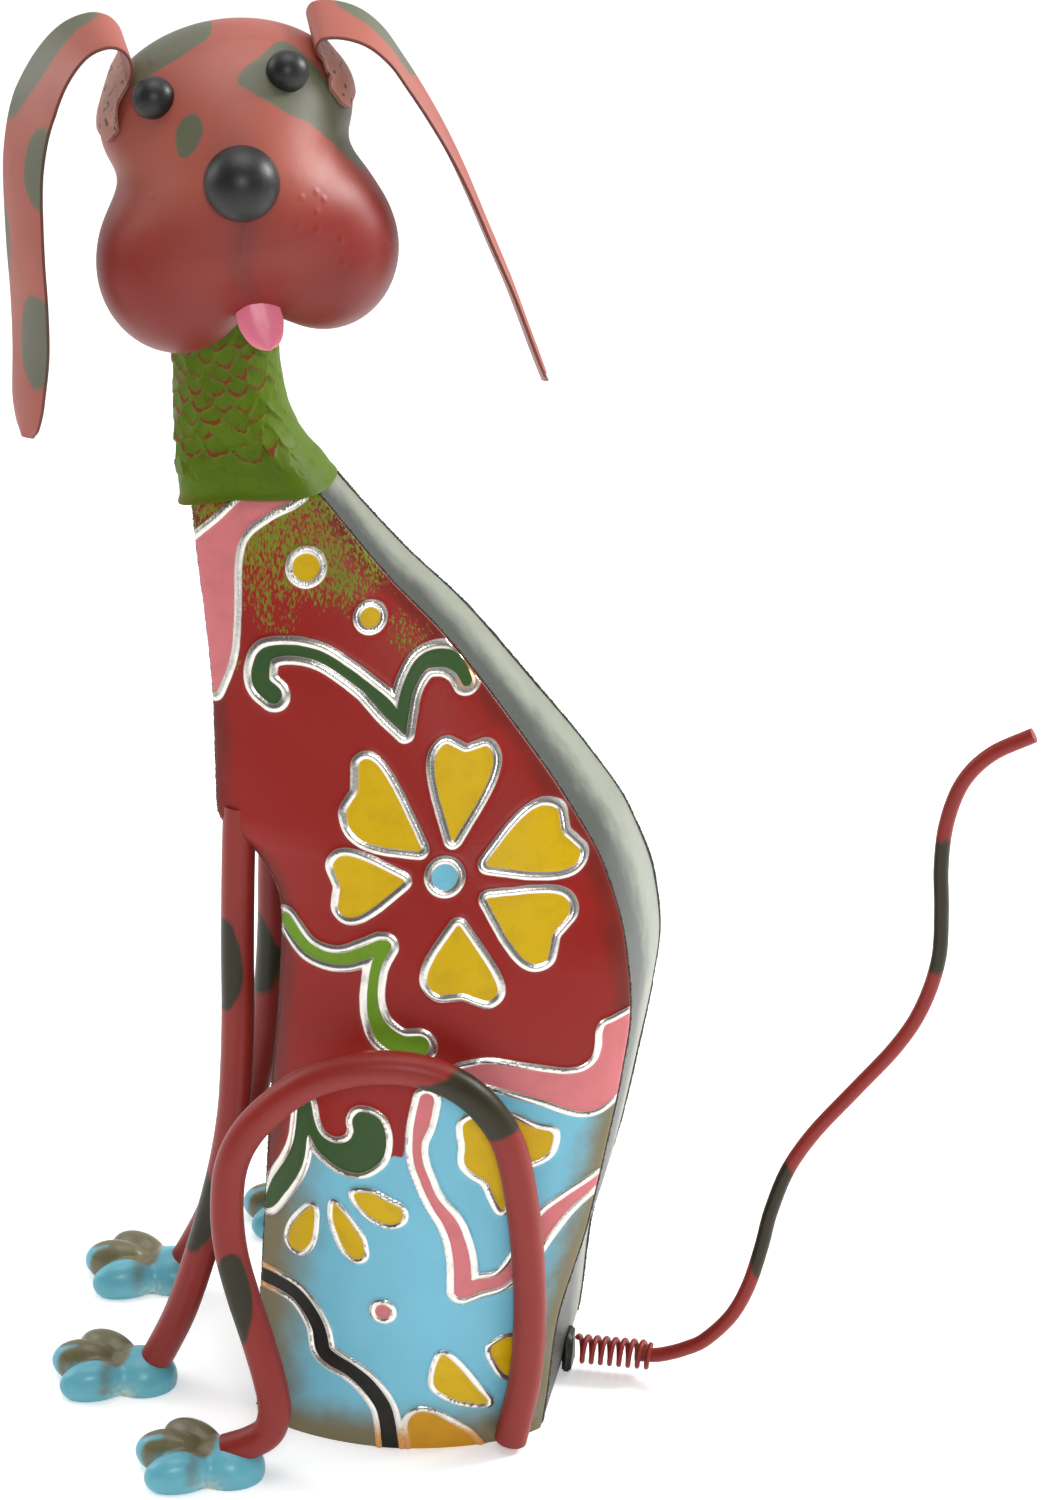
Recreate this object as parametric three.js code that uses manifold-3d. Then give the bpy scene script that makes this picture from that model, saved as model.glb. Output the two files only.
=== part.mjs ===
// A sitting garden dog welded from painted sheet steel, tube and rod.
// Millimetres, +Z up. The body faces -X and carries its tail on +X; the decorated left side lies on -Y.
// The origin is the middle of the body's underside, on the ground.

import * as THREE from 'three';
import { mergeVertices } from 'three/addons/utils/BufferGeometryUtils.js';
import Module from 'manifold-3d';

const SHEET = 1.2;            // thickness of all sheet
const GAP = 0.3;              // clearance between pieces that touch
const BODY_TOP = 362;         // the body ends inside the neck sleeve
const NECK_TOP = 466;         // inside the head, which cuts it
const LEG_RADIUS = 6;
const TAIL_RADIUS = 2.75;
const SPRING_RADIUS = 4.7;    // to the middle of the wire
const SPRING_WIRE = 1;
const SPRING_TURNS = 8;
const SPRING_LENGTH = 28;
const NOSE_RADIUS = 12.5;
const EYE_RADIUS = 6.6;
const EAR_WIDTH = 28;
const EAR_DIP = 17;           // degrees that an ear's front edge lies lower than its back edge
const RIDGE_WIDTH = 3;        // embossed lines on the side panels
const RIDGE_HEIGHT = 1.2;
const HEAD_CENTRE = [-53, -18, 460.5];
const HEAD_TURN = 16;         // degrees, from square to the body towards the tail
const HEAD_LIFT = 5;
const HEAD_TILT = 10;
const PAW_FRONT = { x: -110, y: 37, farther: 7 };
const PAW_HIND = { x: -63.5, y: 92, farther: 3 };

const wasm = await Module();
wasm.setup();

// A smooth function through [position, value] pairs that never overshoots them.
function through(pairs) {
  const at = pairs.map((pair) => pair[0]);
  const value = pairs.map((pair) => pair[1]);
  const slope = at.slice(1).map((next, i) => (value[i + 1] - value[i]) / (next - at[i]));
  const tangent = at.map((_, i) => {
    const before = slope[i - 1] ?? slope[i];
    const after = slope[i] ?? slope[i - 1];
    return before * after > 0 ? (2 * before * after) / (before + after) : 0;
  });
  return (position) => {
    let i = 0;
    while (i < at.length - 2 && position > at[i + 1]) i += 1;
    const span = at[i + 1] - at[i];
    const t = Math.min(Math.max((position - at[i]) / span, 0), 1);
    const rise = t * t * (3 - 2 * t);
    return value[i] * (1 - rise) + value[i + 1] * rise
      + span * t * (1 - t) * ((1 - t) * tangent[i] - t * tangent[i + 1]);
  };
}

// One closed solid from a geometry whose seams are joined and whose empty triangles are dropped;
// a geometry that was mirrored on the way has its triangles flipped back.
function solid(geometry, flip = false) {
  const bare = geometry.clone();
  bare.deleteAttribute('normal');
  bare.deleteAttribute('uv');
  const joined = mergeVertices(bare, 1e-4);
  const index = joined.index.array;
  const kept = [];
  for (let i = 0; i < index.length; i += 3) {
    const [a, b, c] = [index[i], index[i + 1], index[i + 2]];
    if (a !== b && b !== c && c !== a) kept.push(...(flip ? [a, c, b] : [a, b, c]));
  }
  const result = new wasm.Manifold(new wasm.Mesh({
    numProp: 3,
    vertProperties: new Float32Array(joined.attributes.position.array),
    triVerts: new Uint32Array(kept),
  }));
  if (result.volume() < 0) throw new Error('a solid is inside out');
  return result;
}

function geometryOf(body) {
  const made = body.getMesh();
  const geometry = new THREE.BufferGeometry();
  geometry.setAttribute('position', new THREE.BufferAttribute(new Float32Array(made.vertProperties), 3));
  geometry.setIndex(new THREE.BufferAttribute(new Uint32Array(made.triVerts), 1));
  geometry.computeVertexNormals();
  return geometry;
}

// Moves every vertex of a geometry by a function of its place.
function reshape(geometry, move) {
  const position = geometry.attributes.position;
  const point = new THREE.Vector3();
  for (let i = 0; i < position.count; i += 1) {
    point.fromBufferAttribute(position, i);
    const [x, y, z] = move(point);
    position.setXYZ(i, x, y, z);
  }
  return geometry;
}

const paint = (color, roughness = 0.45, metalness = 0.2) => (
  new THREE.MeshStandardMaterial({ color, roughness, metalness })
);
const RED = paint(0x91302a);
const SALMON = paint(0xa9574c, 0.5);
const GREEN = paint(0x4f7d20, 0.5);
const DARK = paint(0x4a544c, 0.4);
const BLACK = paint(0x1c1c1c, 0.35, 0.1);
const TURQUOISE = paint(0x5aafc3, 0.4);
const PINK = paint(0xd7738c, 0.4, 0.1);

const dog = new THREE.Group();

function piece(parent, name, body, material) {
  const mesh = new THREE.Mesh(geometryOf(body), material);
  mesh.name = name;
  parent.add(mesh);
  return mesh;
}

// Side elevation of the body: where its front and back edges lie at each height.
const frontEdge = through([[0, -53], [47, -50.7], [89, -48], [137, -45], [172, -42], [198, -41], [207, -41.5],
  [213, -43.5], [220, -47.5], [226, -52.5], [231, -60], [238, -65], [256, -66], [278, -67], [306, -70],
  [327, -73], [349, -75.5], [362, -76.5]]);
const backEdge = through([[0, 53], [12, 54.7], [44, 58.4], [85, 69], [122, 76.5], [150, 81.4], [173, 83.9],
  [195, 81.9], [224, 73], [248, 58.6], [273, 39.8], [304, 14.5], [324, -6], [353, -31], [362, -38]]);
// Half the body's width at those edges, and how far the sides swell out between them.
const frontHalf = through([[0, 48], [100, 46], [200, 39], [250, 31], [300, 23], [350, 15.5], [362, 14]]);
const backHalf = through([[0, 42], [100, 40], [188, 35], [218, 29], [269, 21], [319, 16], [350, 13.5], [362, 13]]);
const swell = through([[0, 20], [100, 20], [200, 16], [270, 11], [330, 6], [362, 4]]);

function halfWidth(s, z) {
  const flat = frontHalf(z) * (1 - s) + backHalf(z) * s;
  return flat + swell(z) * (4 * s * (1 - s)) ** 0.8;
}

const PANEL_ROWS = [0, 40, 80, 120, 160, 198, 210, 220, 227, 233, 240, 262, 290, 318, 342, BODY_TOP];
const PANEL_COLUMNS = 8;
const column = (i) => 0.5 - 0.5 * Math.cos((Math.PI * i) / PANEL_COLUMNS);

// Half the width of the faceted panel at a place in side elevation.
function halfWidthAt(x, z) {
  let row = 0;
  while (row < PANEL_ROWS.length - 2 && z > PANEL_ROWS[row + 1]) row += 1;
  const [low, high] = [PANEL_ROWS[row], PANEL_ROWS[row + 1]];
  const up = (z - low) / (high - low);
  const between = (a, b, t) => a * (1 - t) + b * t;
  const front = between(frontEdge(low), frontEdge(high), up);
  const back = between(backEdge(low), backEdge(high), up);
  const s = Math.min(Math.max((x - front) / (back - front), 0), 1);
  let i = 0;
  while (i < PANEL_COLUMNS - 1 && s > column(i + 1)) i += 1;
  const across = (s - column(i)) / (column(i + 1) - column(i));
  const at = (level) => between(halfWidth(column(i), level), halfWidth(column(i + 1), level), across);
  return between(at(low), at(high), up);
}

// A side panel: sheet that follows the side elevation and swells outwards; side is -1 for the dog's left.
function panel(side) {
  const rows = PANEL_ROWS.length - 1;
  const sheet = new THREE.BoxGeometry(1, 1, 1, PANEL_COLUMNS, 1, rows);
  return solid(reshape(sheet, ({ x, y, z }) => {
    const height = PANEL_ROWS[Math.round((z + 0.5) * rows)];
    const s = 0.5 - 0.5 * Math.cos(Math.PI * (x + 0.5));
    const outer = y * side > 0;
    const out = halfWidth(s, height) - (outer ? 0 : SHEET);
    return [frontEdge(height) * (1 - s) + backEdge(height) * s, side * out, height];
  }));
}

// A raised closed line of triangular section on a side panel, through points [x, z].
function ridgeRing(points, side) {
  const count = points.length;
  const vertices = [];
  const index = [];
  const area = points.reduce((sum, [x, z], i) => {
    const [nx, nz] = points[(i + 1) % count];
    return sum + x * nz - nx * z;
  }, 0);
  const turn = Math.sign(area);
  points.forEach(([x, z], i) => {
    const [px, pz] = points[(i + count - 1) % count];
    const [nx, nz] = points[(i + 1) % count];
    const along = Math.hypot(nx - px, nz - pz);
    const out = [(turn * (nz - pz)) / along, (-turn * (nx - px)) / along];
    [[RIDGE_WIDTH / 2, -0.6], [0, RIDGE_HEIGHT], [-RIDGE_WIDTH / 2, -0.6]].forEach(([sideways, proud]) => {
      const at = [x + out[0] * sideways, z + out[1] * sideways];
      vertices.push(at[0], side * (halfWidthAt(at[0], at[1]) + proud), at[1]);
    });
  });
  for (let i = 0; i < count; i += 1) {
    const next = (i + 1) % count;
    for (let k = 0; k < 3; k += 1) {
      const m = (k + 1) % 3;
      const quad = [i * 3 + k, next * 3 + k, next * 3 + m, i * 3 + m];
      if (turn * side > 0) quad.reverse();
      index.push(quad[0], quad[1], quad[2], quad[0], quad[2], quad[3]);
    }
  }
  const ring = new THREE.BufferGeometry();
  ring.setAttribute('position', new THREE.Float32BufferAttribute(vertices, 3));
  ring.setIndex(index);
  return solid(ring);
}

// A raised plate on a side panel with an outline through points [x, z].
function pad(points, side) {
  const outline = new THREE.Shape(points.map(([x, z]) => new THREE.Vector2(x, z)));
  const plate = new THREE.ExtrudeGeometry(outline, { depth: 1, bevelEnabled: false });
  return solid(reshape(plate, ({ x, y, z }) => (
    [x, side * (halfWidthAt(x, y) + (z > 0.5 ? 0.9 : -0.6)), y])), side > 0);
}

// A raised band with sloping sides on a side panel, along points [x, z, half width].
function band(points, side) {
  const steps = points.length - 1;
  const strip = new THREE.BoxGeometry(1, 1, 1, steps, 1, 1);
  return solid(reshape(strip, ({ x, y, z }) => {
    const i = Math.round((x + 0.5) * steps);
    const [px, pz] = points[Math.max(i - 1, 0)];
    const [nx, nz] = points[Math.min(i + 1, steps)];
    const along = Math.hypot(nx - px, nz - pz);
    const top = y * side > 0;
    const reach = (top ? points[i][2] - 0.6 : points[i][2] + 0.6) * 2 * z;
    const at = [points[i][0] - ((nz - pz) / along) * reach, points[i][1] + ((nx - px) / along) * reach];
    return [at[0], side * (halfWidthAt(at[0], at[1]) + (top ? 0.9 : -0.6)), at[1]];
  }));
}

// A petal with a heart-shaped end, pointing away from the flower's middle at an angle in degrees.
const FLOWER = [18.9, 224.4];
const PETALS = [[16, 12], [83, 12], [134, 12], [186, 11], [282, 13], [327, 14]];
const PETAL_LENGTH = 33;
const PETAL_HALF_WIDTH = 12;
const PETAL_OUTLINE = [[0, 0], [0.3, 0.5], [0.65, 0.96], [0.88, 0.9], [1, 0.5], [0.93, 0], [1, -0.5], [0.88, -0.9],
  [0.65, -0.96], [0.3, -0.5]];
function petal([angle, start]) {
  const [cos, sin] = [Math.cos(angle * THREE.MathUtils.DEG2RAD), Math.sin(angle * THREE.MathUtils.DEG2RAD)];
  return PETAL_OUTLINE.map(([along, across]) => {
    const a = start + along * PETAL_LENGTH;
    const b = across * PETAL_HALF_WIDTH;
    return [FLOWER[0] + a * cos - b * sin, FLOWER[1] + a * sin + b * cos];
  });
}
const circle = ([x, z], radius, count) => Array.from({ length: count }, (_, i) => [
  x + radius * Math.cos((2 * Math.PI * i) / count), z + radius * Math.sin((2 * Math.PI * i) / count)]);

const SCROLL_LEFT = [[-42, 282, 3], [-48.5, 285.5, 3.4], [-50, 292.5, 3.4], [-43.4, 298, 3.4], [-34, 299.5, 3.2],
  [-23, 296.6, 3.2], [-11.5, 288.4, 3.2], [-3, 281, 3], [3, 269.5, 1.2]];
const SCROLL_RIGHT = [[24, 286.5, 2.4], [22.5, 291.5, 3], [17.5, 297, 3.2], [11, 297.5, 3.2], [6.5, 292, 3],
  [4.6, 284.5, 3], [3.2, 270, 1.2]];
const VINE = [[-39.4, 200, 2], [-30, 194.2, 3], [-17.6, 192.1, 3], [-5.5, 197, 3], [-3.8, 188.5, 3],
  [-5.2, 177.7, 3], [-2, 168.5, 3], [4, 164, 3.4], [12, 165, 2.4]];
const SCARF = [[-45.8, 344.5, 1.6], [-54.5, 338.5, 1.6], [-56.6, 328.8, 1.6], [-57.2, 304, 1.6], [-59.3, 289, 1.6],
  [-65, 281.5, 1.4]];
const PINK_BAND = [[27, 153, 2.4], [45, 154, 4], [60, 149, 4.4], [69, 146.5, 4.6], [75, 155, 4], [78, 166, 3]];
const ZIGZAG = [[13, 142, 3], [11.8, 127.4, 3.4], [15.8, 109.2, 3.4], [23.7, 92.7, 3.2], [27, 78, 3.2],
  [31, 68.5, 3.2], [41, 71, 3.2], [56.7, 92.5, 3], [70, 105, 2.4]];

// The shown side carries every large motif, the hidden side only the flower and its scroll.
for (const [name, side] of [['side_panel_left', -1], ['side_panel_right', 1]]) {
  let sheet = panel(side);
  const flower = [...PETALS.map(petal), circle(FLOWER, 6.4, 8)];
  const dots = [circle([-33.6, 328.4], 5.8, 8), circle([-10.6, 311.9], 4.4, 8)];
  const lines = [SCROLL_LEFT, SCROLL_RIGHT, VINE, SCARF, PINK_BAND, ZIGZAG];
  flower.forEach((outline) => { sheet = sheet.add(side < 0 ? ridgeRing(outline, side) : pad(outline, side)); });
  if (side < 0) dots.forEach((outline) => { sheet = sheet.add(pad(outline, side)); });
  lines.slice(0, side < 0 ? 6 : 2).forEach((line) => { sheet = sheet.add(band(line, side)); });
  piece(dog, name, sheet, RED);
}

// The strips that join the two panels along the back and along chest, armpit and belly.
function strip(edge, half, inwards) {
  const rows = PANEL_ROWS.length - 1;
  const sheet = new THREE.BoxGeometry(1, 1, 1, 1, 1, rows);
  return solid(reshape(sheet, ({ x, y, z }) => {
    const height = PANEL_ROWS[Math.round((z + 0.5) * rows)];
    const slope = (edge(height + 1) - edge(height - 1)) / 2;
    const thick = SHEET * Math.hypot(1, slope);
    const inner = x * inwards > 0;
    return [edge(height) + (inner ? inwards * thick : 0), 2 * y * (half(height) - SHEET - GAP), height];
  }));
}
piece(dog, 'back_strip', strip(backEdge, backHalf, -1), DARK);
piece(dog, 'front_strip', strip(frontEdge, frontHalf, 1), RED);

// The sheet that closes the body underneath, just inside panels and strips.
const baseOutline = [];
for (const side of [-1, 1]) {
  for (let i = 0; i <= 12; i += 1) {
    const step = side < 0 ? i / 12 : 1 - i / 12;
    const x = frontEdge(0) + SHEET + 0.5 + step * (backEdge(0) - frontEdge(0) - 2 * SHEET - 1);
    baseOutline.push(new THREE.Vector2(x, side * (halfWidthAt(x, 0) - SHEET - 0.5)));
  }
}
const base = new THREE.ExtrudeGeometry(new THREE.Shape(baseOutline), { depth: SHEET, bevelEnabled: false });
piece(dog, 'base_plate', solid(base), RED);

// The head's form: distance in mm, negative inside, from a cranium, a muzzle and two hanging jowls that flow together.
const LOBES = [
  { at: [-0.5, 27, -8], radii: [43, 31, 38] },
  { at: [-1, 4, 8], radii: [33, 36, 37] },
  { at: [-28, -18.5, 4], radii: [26.5, 29, 30] },
  { at: [21.5, -20.5, 4], radii: [26.5, 29, 30] },
];
function ellipsoid({ at, radii }, p) {
  const q = [0, 1, 2].map((k) => (p[k] - at[k]) / radii[k]);
  const near = Math.hypot(...q);
  const steep = Math.hypot(...q.map((value, k) => value / radii[k]));
  return steep > 0 ? (near * (near - 1)) / steep : -Math.min(...radii);
}
function blend(a, b, width) {
  const h = Math.max(width - Math.abs(a - b), 0) / width;
  return Math.min(a, b) - (h * h * width) / 4;
}
const headDistance = (p) => LOBES.map((lobe) => ellipsoid(lobe, p)).reduce((a, b) => blend(a, b, 9));

// How far a form reaches from a point in a direction.
function reach(distance, from, direction, margin) {
  let [low, high] = [0, 120];
  for (let i = 0; i < 40; i += 1) {
    const middle = (low + high) / 2;
    const p = [0, 1, 2].map((k) => from[k] + direction[k] * middle);
    if (distance(p) < margin) low = middle;
    else high = middle;
  }
  return low;
}

// The head in its own frame: x to its left, z up, -y forwards; the lobes above read x, z, -y.
function headSolid(margin) {
  const ball = new THREE.SphereGeometry(1, 24, 16);
  return solid(reshape(ball, (p) => {
    const far = reach(headDistance, [0, 4, 0], [p.x, -p.z, p.y], margin);
    return [p.x * far, -p.y * far, 4 - p.z * far];
  }));
}
const headFrame = new THREE.Group();
headFrame.position.set(...HEAD_CENTRE);
headFrame.rotation.set(...[-HEAD_LIFT, -HEAD_TILT, HEAD_TURN].map(THREE.MathUtils.degToRad), 'ZXY');
headFrame.updateMatrix();
dog.add(headFrame);
const headCut = headSolid(GAP);
piece(headFrame, 'head', headSolid(0), SALMON);

// Balls on the face: nose and eyes, standing on the surface at [x, z] of the head's frame.
function ball(radius, [x, z], proud, segments) {
  const out = reach(headDistance, [x, z, 0], [0, 0, 1], 0) + proud;
  const sphere = new THREE.SphereGeometry(radius, segments, segments - 4);
  return solid(sphere.translate(x, -out, z)).subtract(headCut);
}
piece(headFrame, 'nose', ball(NOSE_RADIUS, [-0.4, 14], 3, 11), BLACK);
piece(headFrame, 'eye_right', ball(EYE_RADIUS, [-23, 42.5], 2.5, 9), BLACK);
piece(headFrame, 'eye_left', ball(EYE_RADIUS, [22, 42.3], 2.5, 9), BLACK);

// The tongue hangs out of the notch between the jowls.
const tongueShape = new THREE.Shape();
tongueShape.moveTo(-7, 10);
tongueShape.lineTo(-7, -2);
tongueShape.quadraticCurveTo(-6.5, -9, 0, -10.5);
tongueShape.quadraticCurveTo(6.5, -9, 7, -2);
tongueShape.lineTo(7, 10);
const tongueSheet = new THREE.ExtrudeGeometry(tongueShape, { depth: 2.4, bevelEnabled: false, curveSegments: 5 });
tongueSheet.rotateX(Math.PI / 2).translate(-4, -24, -36);
piece(headFrame, 'tongue', solid(tongueSheet).subtract(headCut), PINK);

// An ear: sheet strip that rises from a tab on the head's side, bends over and hangs down, through points [x, z].
// Its twist in degrees turns the flat side forwards along the way.
function ear(points, twist) {
  const path = new THREE.CatmullRomCurve3(points.map(([x, z]) => new THREE.Vector3(x, -2, z)));
  const steps = 22;
  const width = through([[0, 0.5], [0.03, 0.8], [0.08, 0.96], [0.2, 1], [0.8, 1], [0.93, 0.86], [0.98, 0.6], [1, 0.34]]);
  const strip = new THREE.BoxGeometry(1, 1, 1, steps, 1, 1);
  return solid(reshape(strip, ({ x, y, z }) => {
    const t = x + 0.5;
    const turn = THREE.MathUtils.degToRad(twist * THREE.MathUtils.smoothstep(t, 0.12, 0.4));
    const along = path.getTangentAt(t);
    const dip = THREE.MathUtils.degToRad(EAR_DIP * (1 - 0.7 * THREE.MathUtils.smoothstep(t, 0.3, 0.8)));
    const across = new THREE.Vector3(Math.sin(turn), -Math.cos(turn) * Math.cos(dip), -Math.sin(dip)).normalize();
    const proud = along.clone().cross(across).normalize();
    const at = path.getPointAt(t)
      .addScaledVector(across, y * EAR_WIDTH * width(t))
      .addScaledVector(proud, z * SHEET);
    return [at.x, at.y, at.z];
  })).subtract(headCut);
}
const EAR_RIGHT = [[-44, 30], [-42, 36], [-38.5, 42], [-33, 48], [-29.5, 53], [-29, 58], [-31.5, 62.5], [-37, 64.5],
  [-45.5, 62.4], [-55, 54.7], [-63.6, 43], [-69.3, 30.5], [-73, 17.4], [-76.7, -2.7], [-79.2, -19.8], [-82.4, -36.8],
  [-87, -53.6], [-90, -66]];
const EAR_LEFT = [[43, 25], [42.4, 31], [40, 38], [35.5, 44.5], [33, 49.5], [35.5, 53], [42.5, 52], [50.2, 47.7],
  [56.3, 40.3], [60.6, 30.6], [65, 19.3], [69.7, 5.1], [73.7, -10.4], [77.8, -29.8], [82, -49.5], [85.5, -70.3],
  [87.8, -83]];
piece(headFrame, 'ear_right', ear(EAR_RIGHT, 25), SALMON);
piece(headFrame, 'ear_left', ear(EAR_LEFT, -4), SALMON);

// The neck sleeve: its left and right limits in side elevation, its half depth, and a hem that rises towards the back.
const neckFront = through([[343, -82], [372, -83.5], [398, -84], [NECK_TOP, -83]]);
const neckBack = through([[343, -23], [357, -30], [364, -36.4], [371, -41], [382, -45], [400, -47], [NECK_TOP, -48]]);
const neckDepth = through([[343, 22.5], [357, 21], [371, 19.3], [400, 18], [NECK_TOP, 18]]);
const sleeveProfile = [];
for (let i = 0; i <= 6; i += 1) sleeveProfile.push(new THREE.Vector2(2, (i / 6) ** 1.4));
for (let i = 6; i >= 0; i -= 1) sleeveProfile.push(new THREE.Vector2(1, (i / 6) ** 1.4));
sleeveProfile.push(sleeveProfile[0].clone());
const sleeve = new THREE.LatheGeometry(sleeveProfile, 16);
const neck = solid(reshape(sleeve, ({ x, y, z }) => {
  const radius = Math.hypot(x, z);
  const [cos, sin] = [z / radius, x / radius];
  const wall = radius > 1.5 ? 0 : SHEET;
  const hem = 352 + 7 * cos;
  const height = hem + (NECK_TOP - hem) * y;
  const middle = (neckFront(height) + neckBack(height)) / 2;
  const long = (neckBack(height) - neckFront(height)) / 2 - wall;
  return [middle + long * cos, (neckDepth(height) - wall) * sin, height];
}));
const headInPlace = solid(geometryOf(headCut).applyMatrix4(headFrame.matrix));

// A full block of the body's outer shape, grown by a margin, that trims what is welded to it.
function bodyBlock(margin) {
  const rows = PANEL_ROWS.length - 1;
  const block = new THREE.BoxGeometry(1, 1, 1, PANEL_COLUMNS, 1, rows);
  return solid(reshape(block, ({ x, y, z }) => {
    const row = Math.round((z + 0.5) * rows);
    const height = PANEL_ROWS[row] + (row === 0 ? -5 : 0) + (row === rows ? margin : 0);
    const level = PANEL_ROWS[row];
    const s = 0.5 - 0.5 * Math.cos(Math.PI * (x + 0.5));
    const push = s < 0.01 ? -margin * 1.5 : s > 0.99 ? margin * 1.5 : 0;
    return [frontEdge(level) * (1 - s) + backEdge(level) * s + push,
      2 * y * (halfWidth(s, level) + margin * 1.5), height];
  }));
}
const bodyCut = bodyBlock(GAP);
piece(dog, 'neck_sleeve', neck.subtract(headInPlace).subtract(bodyCut), GREEN);

// A round bar along a curve; ExtrudeGeometry closes both ends.
function bar(curve, radius, sides, steps) {
  const section = new THREE.Shape(Array.from({ length: sides }, (_, i) => new THREE.Vector2(
    radius * Math.cos((2 * Math.PI * i) / sides), radius * Math.sin((2 * Math.PI * i) / sides))));
  return solid(new THREE.ExtrudeGeometry(section, { extrudePath: curve, steps, bevelEnabled: false }));
}
const curve = (points) => new THREE.CatmullRomCurve3(points.map((p) => new THREE.Vector3(...p)));

// A paw: heel and three toes that flow together, flat underneath, toes towards -X.
const TOES = [
  { at: [10, 0, 3], radii: [13.5, 12, 11], turn: 0 },
  { at: [-11.5, 0, 6.5], radii: [13, 7.4, 9], turn: 0 },
  { at: [-5.5, -11, 5], radii: [13, 7, 8.5], turn: 24 },
  { at: [-5.5, 11, 5], radii: [13, 7, 8.5], turn: -24 },
];
function pawDistance([x, y, z]) {
  return TOES.map((toe) => {
    const turn = THREE.MathUtils.degToRad(toe.turn);
    const [dx, dy] = [x - toe.at[0], y - toe.at[1]];
    const p = [dx * Math.cos(turn) + dy * Math.sin(turn), dy * Math.cos(turn) - dx * Math.sin(turn), z - toe.at[2]];
    return ellipsoid({ at: [0, 0, 0], radii: toe.radii }, p);
  }).reduce((a, b) => blend(a, b, 4));
}
function pawSolid(x, y, margin) {
  const rings = 5;
  const dome = [new THREE.Vector2(0, 0)];
  for (let i = 0; i <= rings; i += 1) {
    const rise = (Math.PI / 2) * (i / rings);
    dome.push(new THREE.Vector2(i === rings ? 0 : Math.cos(rise), Math.sin(rise)));
  }
  const lathe = new THREE.LatheGeometry(dome, 20).rotateX(Math.PI / 2);
  return solid(reshape(lathe, (p) => {
    if (p.length() < 0.5) return [x, y, 0];
    const far = reach(pawDistance, [0, 0, 0], [p.x, p.y, p.z], margin);
    return [x + p.x * far, y + p.y * far, p.z * far];
  }));
}

// Legs through points [x, distance from the mid-plane, z]; the far ones stand a little farther forwards at the foot.
const FRONT_LEG = [[-57.5, 31, 240], [-58.5, 32, 215], [-59.3, 33, 185], [-59.6, 33.7, 160], [-60.6, 34, 138],
  [-62.2, 34.4, 118], [-65.6, 34.9, 97.5], [-70.8, 35.4, 76], [-77.2, 36, 53.6], [-84, 36.4, 33], [-91, 36.8, 17.5],
  [-97, 37, 6]];
const HIND_LEG = [[44.5, 57.2, 3.6], [50, 58, 30.8], [52, 60, 56.2], [51.9, 62, 80.8], [50.2, 64, 105], [46.5, 66, 128.7],
  [39.9, 68, 143.6], [29.2, 70, 154.9], [14.6, 72, 161.3], [-3, 74, 161.9], [-20.9, 75.6, 156.6], [-34.9, 77.2, 147.2],
  [-46.1, 78.8, 134.6], [-52.1, 80.4, 121.2], [-53.7, 82, 104.8], [-52.3, 83.6, 88.6], [-48.2, 85.2, 72.6],
  [-43.1, 86.8, 56.6], [-38.4, 88.6, 40.5], [-36.2, 90, 29], [-38.2, 91, 19.5], [-45, 91.6, 14], [-54, 92, 10]];

for (const [side, suffix] of [[-1, 'left'], [1, 'right']]) {
  const set = (points, farther, top) => curve(points.map(([x, y, z]) => [
    x - (side > 0 ? farther * (1 - Math.max(z, 0) / top) : 0), side * y, z]));
  const place = (paw) => [paw.x - (side > 0 ? paw.farther : 0), side * paw.y];

  // The front leg's top is cut along the slanting underside of the chest.
  const chestCut = new THREE.BoxGeometry(60, 60, 30).translate(0, 0, 15)
    .rotateY(Math.atan2(11, 14)).translate(-58, side * 32, 230.2);
  const frontLeg = bar(set(FRONT_LEG, PAW_FRONT.farther, 240), LEG_RADIUS, 8, 13)
    .subtract(solid(chestCut)).subtract(bodyCut).subtract(pawSolid(...place(PAW_FRONT), GAP));
  piece(dog, `front_leg_${suffix}`, frontLeg, RED);
  piece(dog, `paw_front_${suffix}`, pawSolid(...place(PAW_FRONT), 0), TURQUOISE);

  const hindLeg = bar(set(HIND_LEG, PAW_HIND.farther, 170), LEG_RADIUS, 8, 25)
    .subtract(bodyCut).subtract(pawSolid(...place(PAW_HIND), GAP));
  piece(dog, `hind_leg_${suffix}`, hindLeg, RED);
  piece(dog, `paw_hind_${suffix}`, pawSolid(...place(PAW_HIND), 0), TURQUOISE);
}

// The tab on the back strip that holds the tail.
const BRACKET_THICK = 3;
const bracket = new THREE.BoxGeometry(BRACKET_THICK, 12, 14, 1, 1, 2).translate(BRACKET_THICK / 2 + 0.5, 0, 9);
piece(dog, 'tail_bracket', solid(reshape(bracket, ({ x, y, z }) => [x + backEdge(z), y, z])), BLACK);

// The spring between the tab and the tail, its axis along +X.
const SPRING_START = [backEdge(16) + BRACKET_THICK + 0.5 + GAP + SPRING_WIRE, 0, 9.5];
class Coil extends THREE.Curve {
  getPoint(t, target = new THREE.Vector3()) {
    const angle = 2 * Math.PI * SPRING_TURNS * t;
    return target.set(SPRING_START[0] + SPRING_LENGTH * t, SPRING_RADIUS * Math.sin(angle),
      SPRING_START[2] + SPRING_RADIUS * Math.cos(angle));
  }
}
piece(dog, 'tail_spring', bar(new Coil(), SPRING_WIRE, 4, 7 * SPRING_TURNS), RED);

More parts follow.
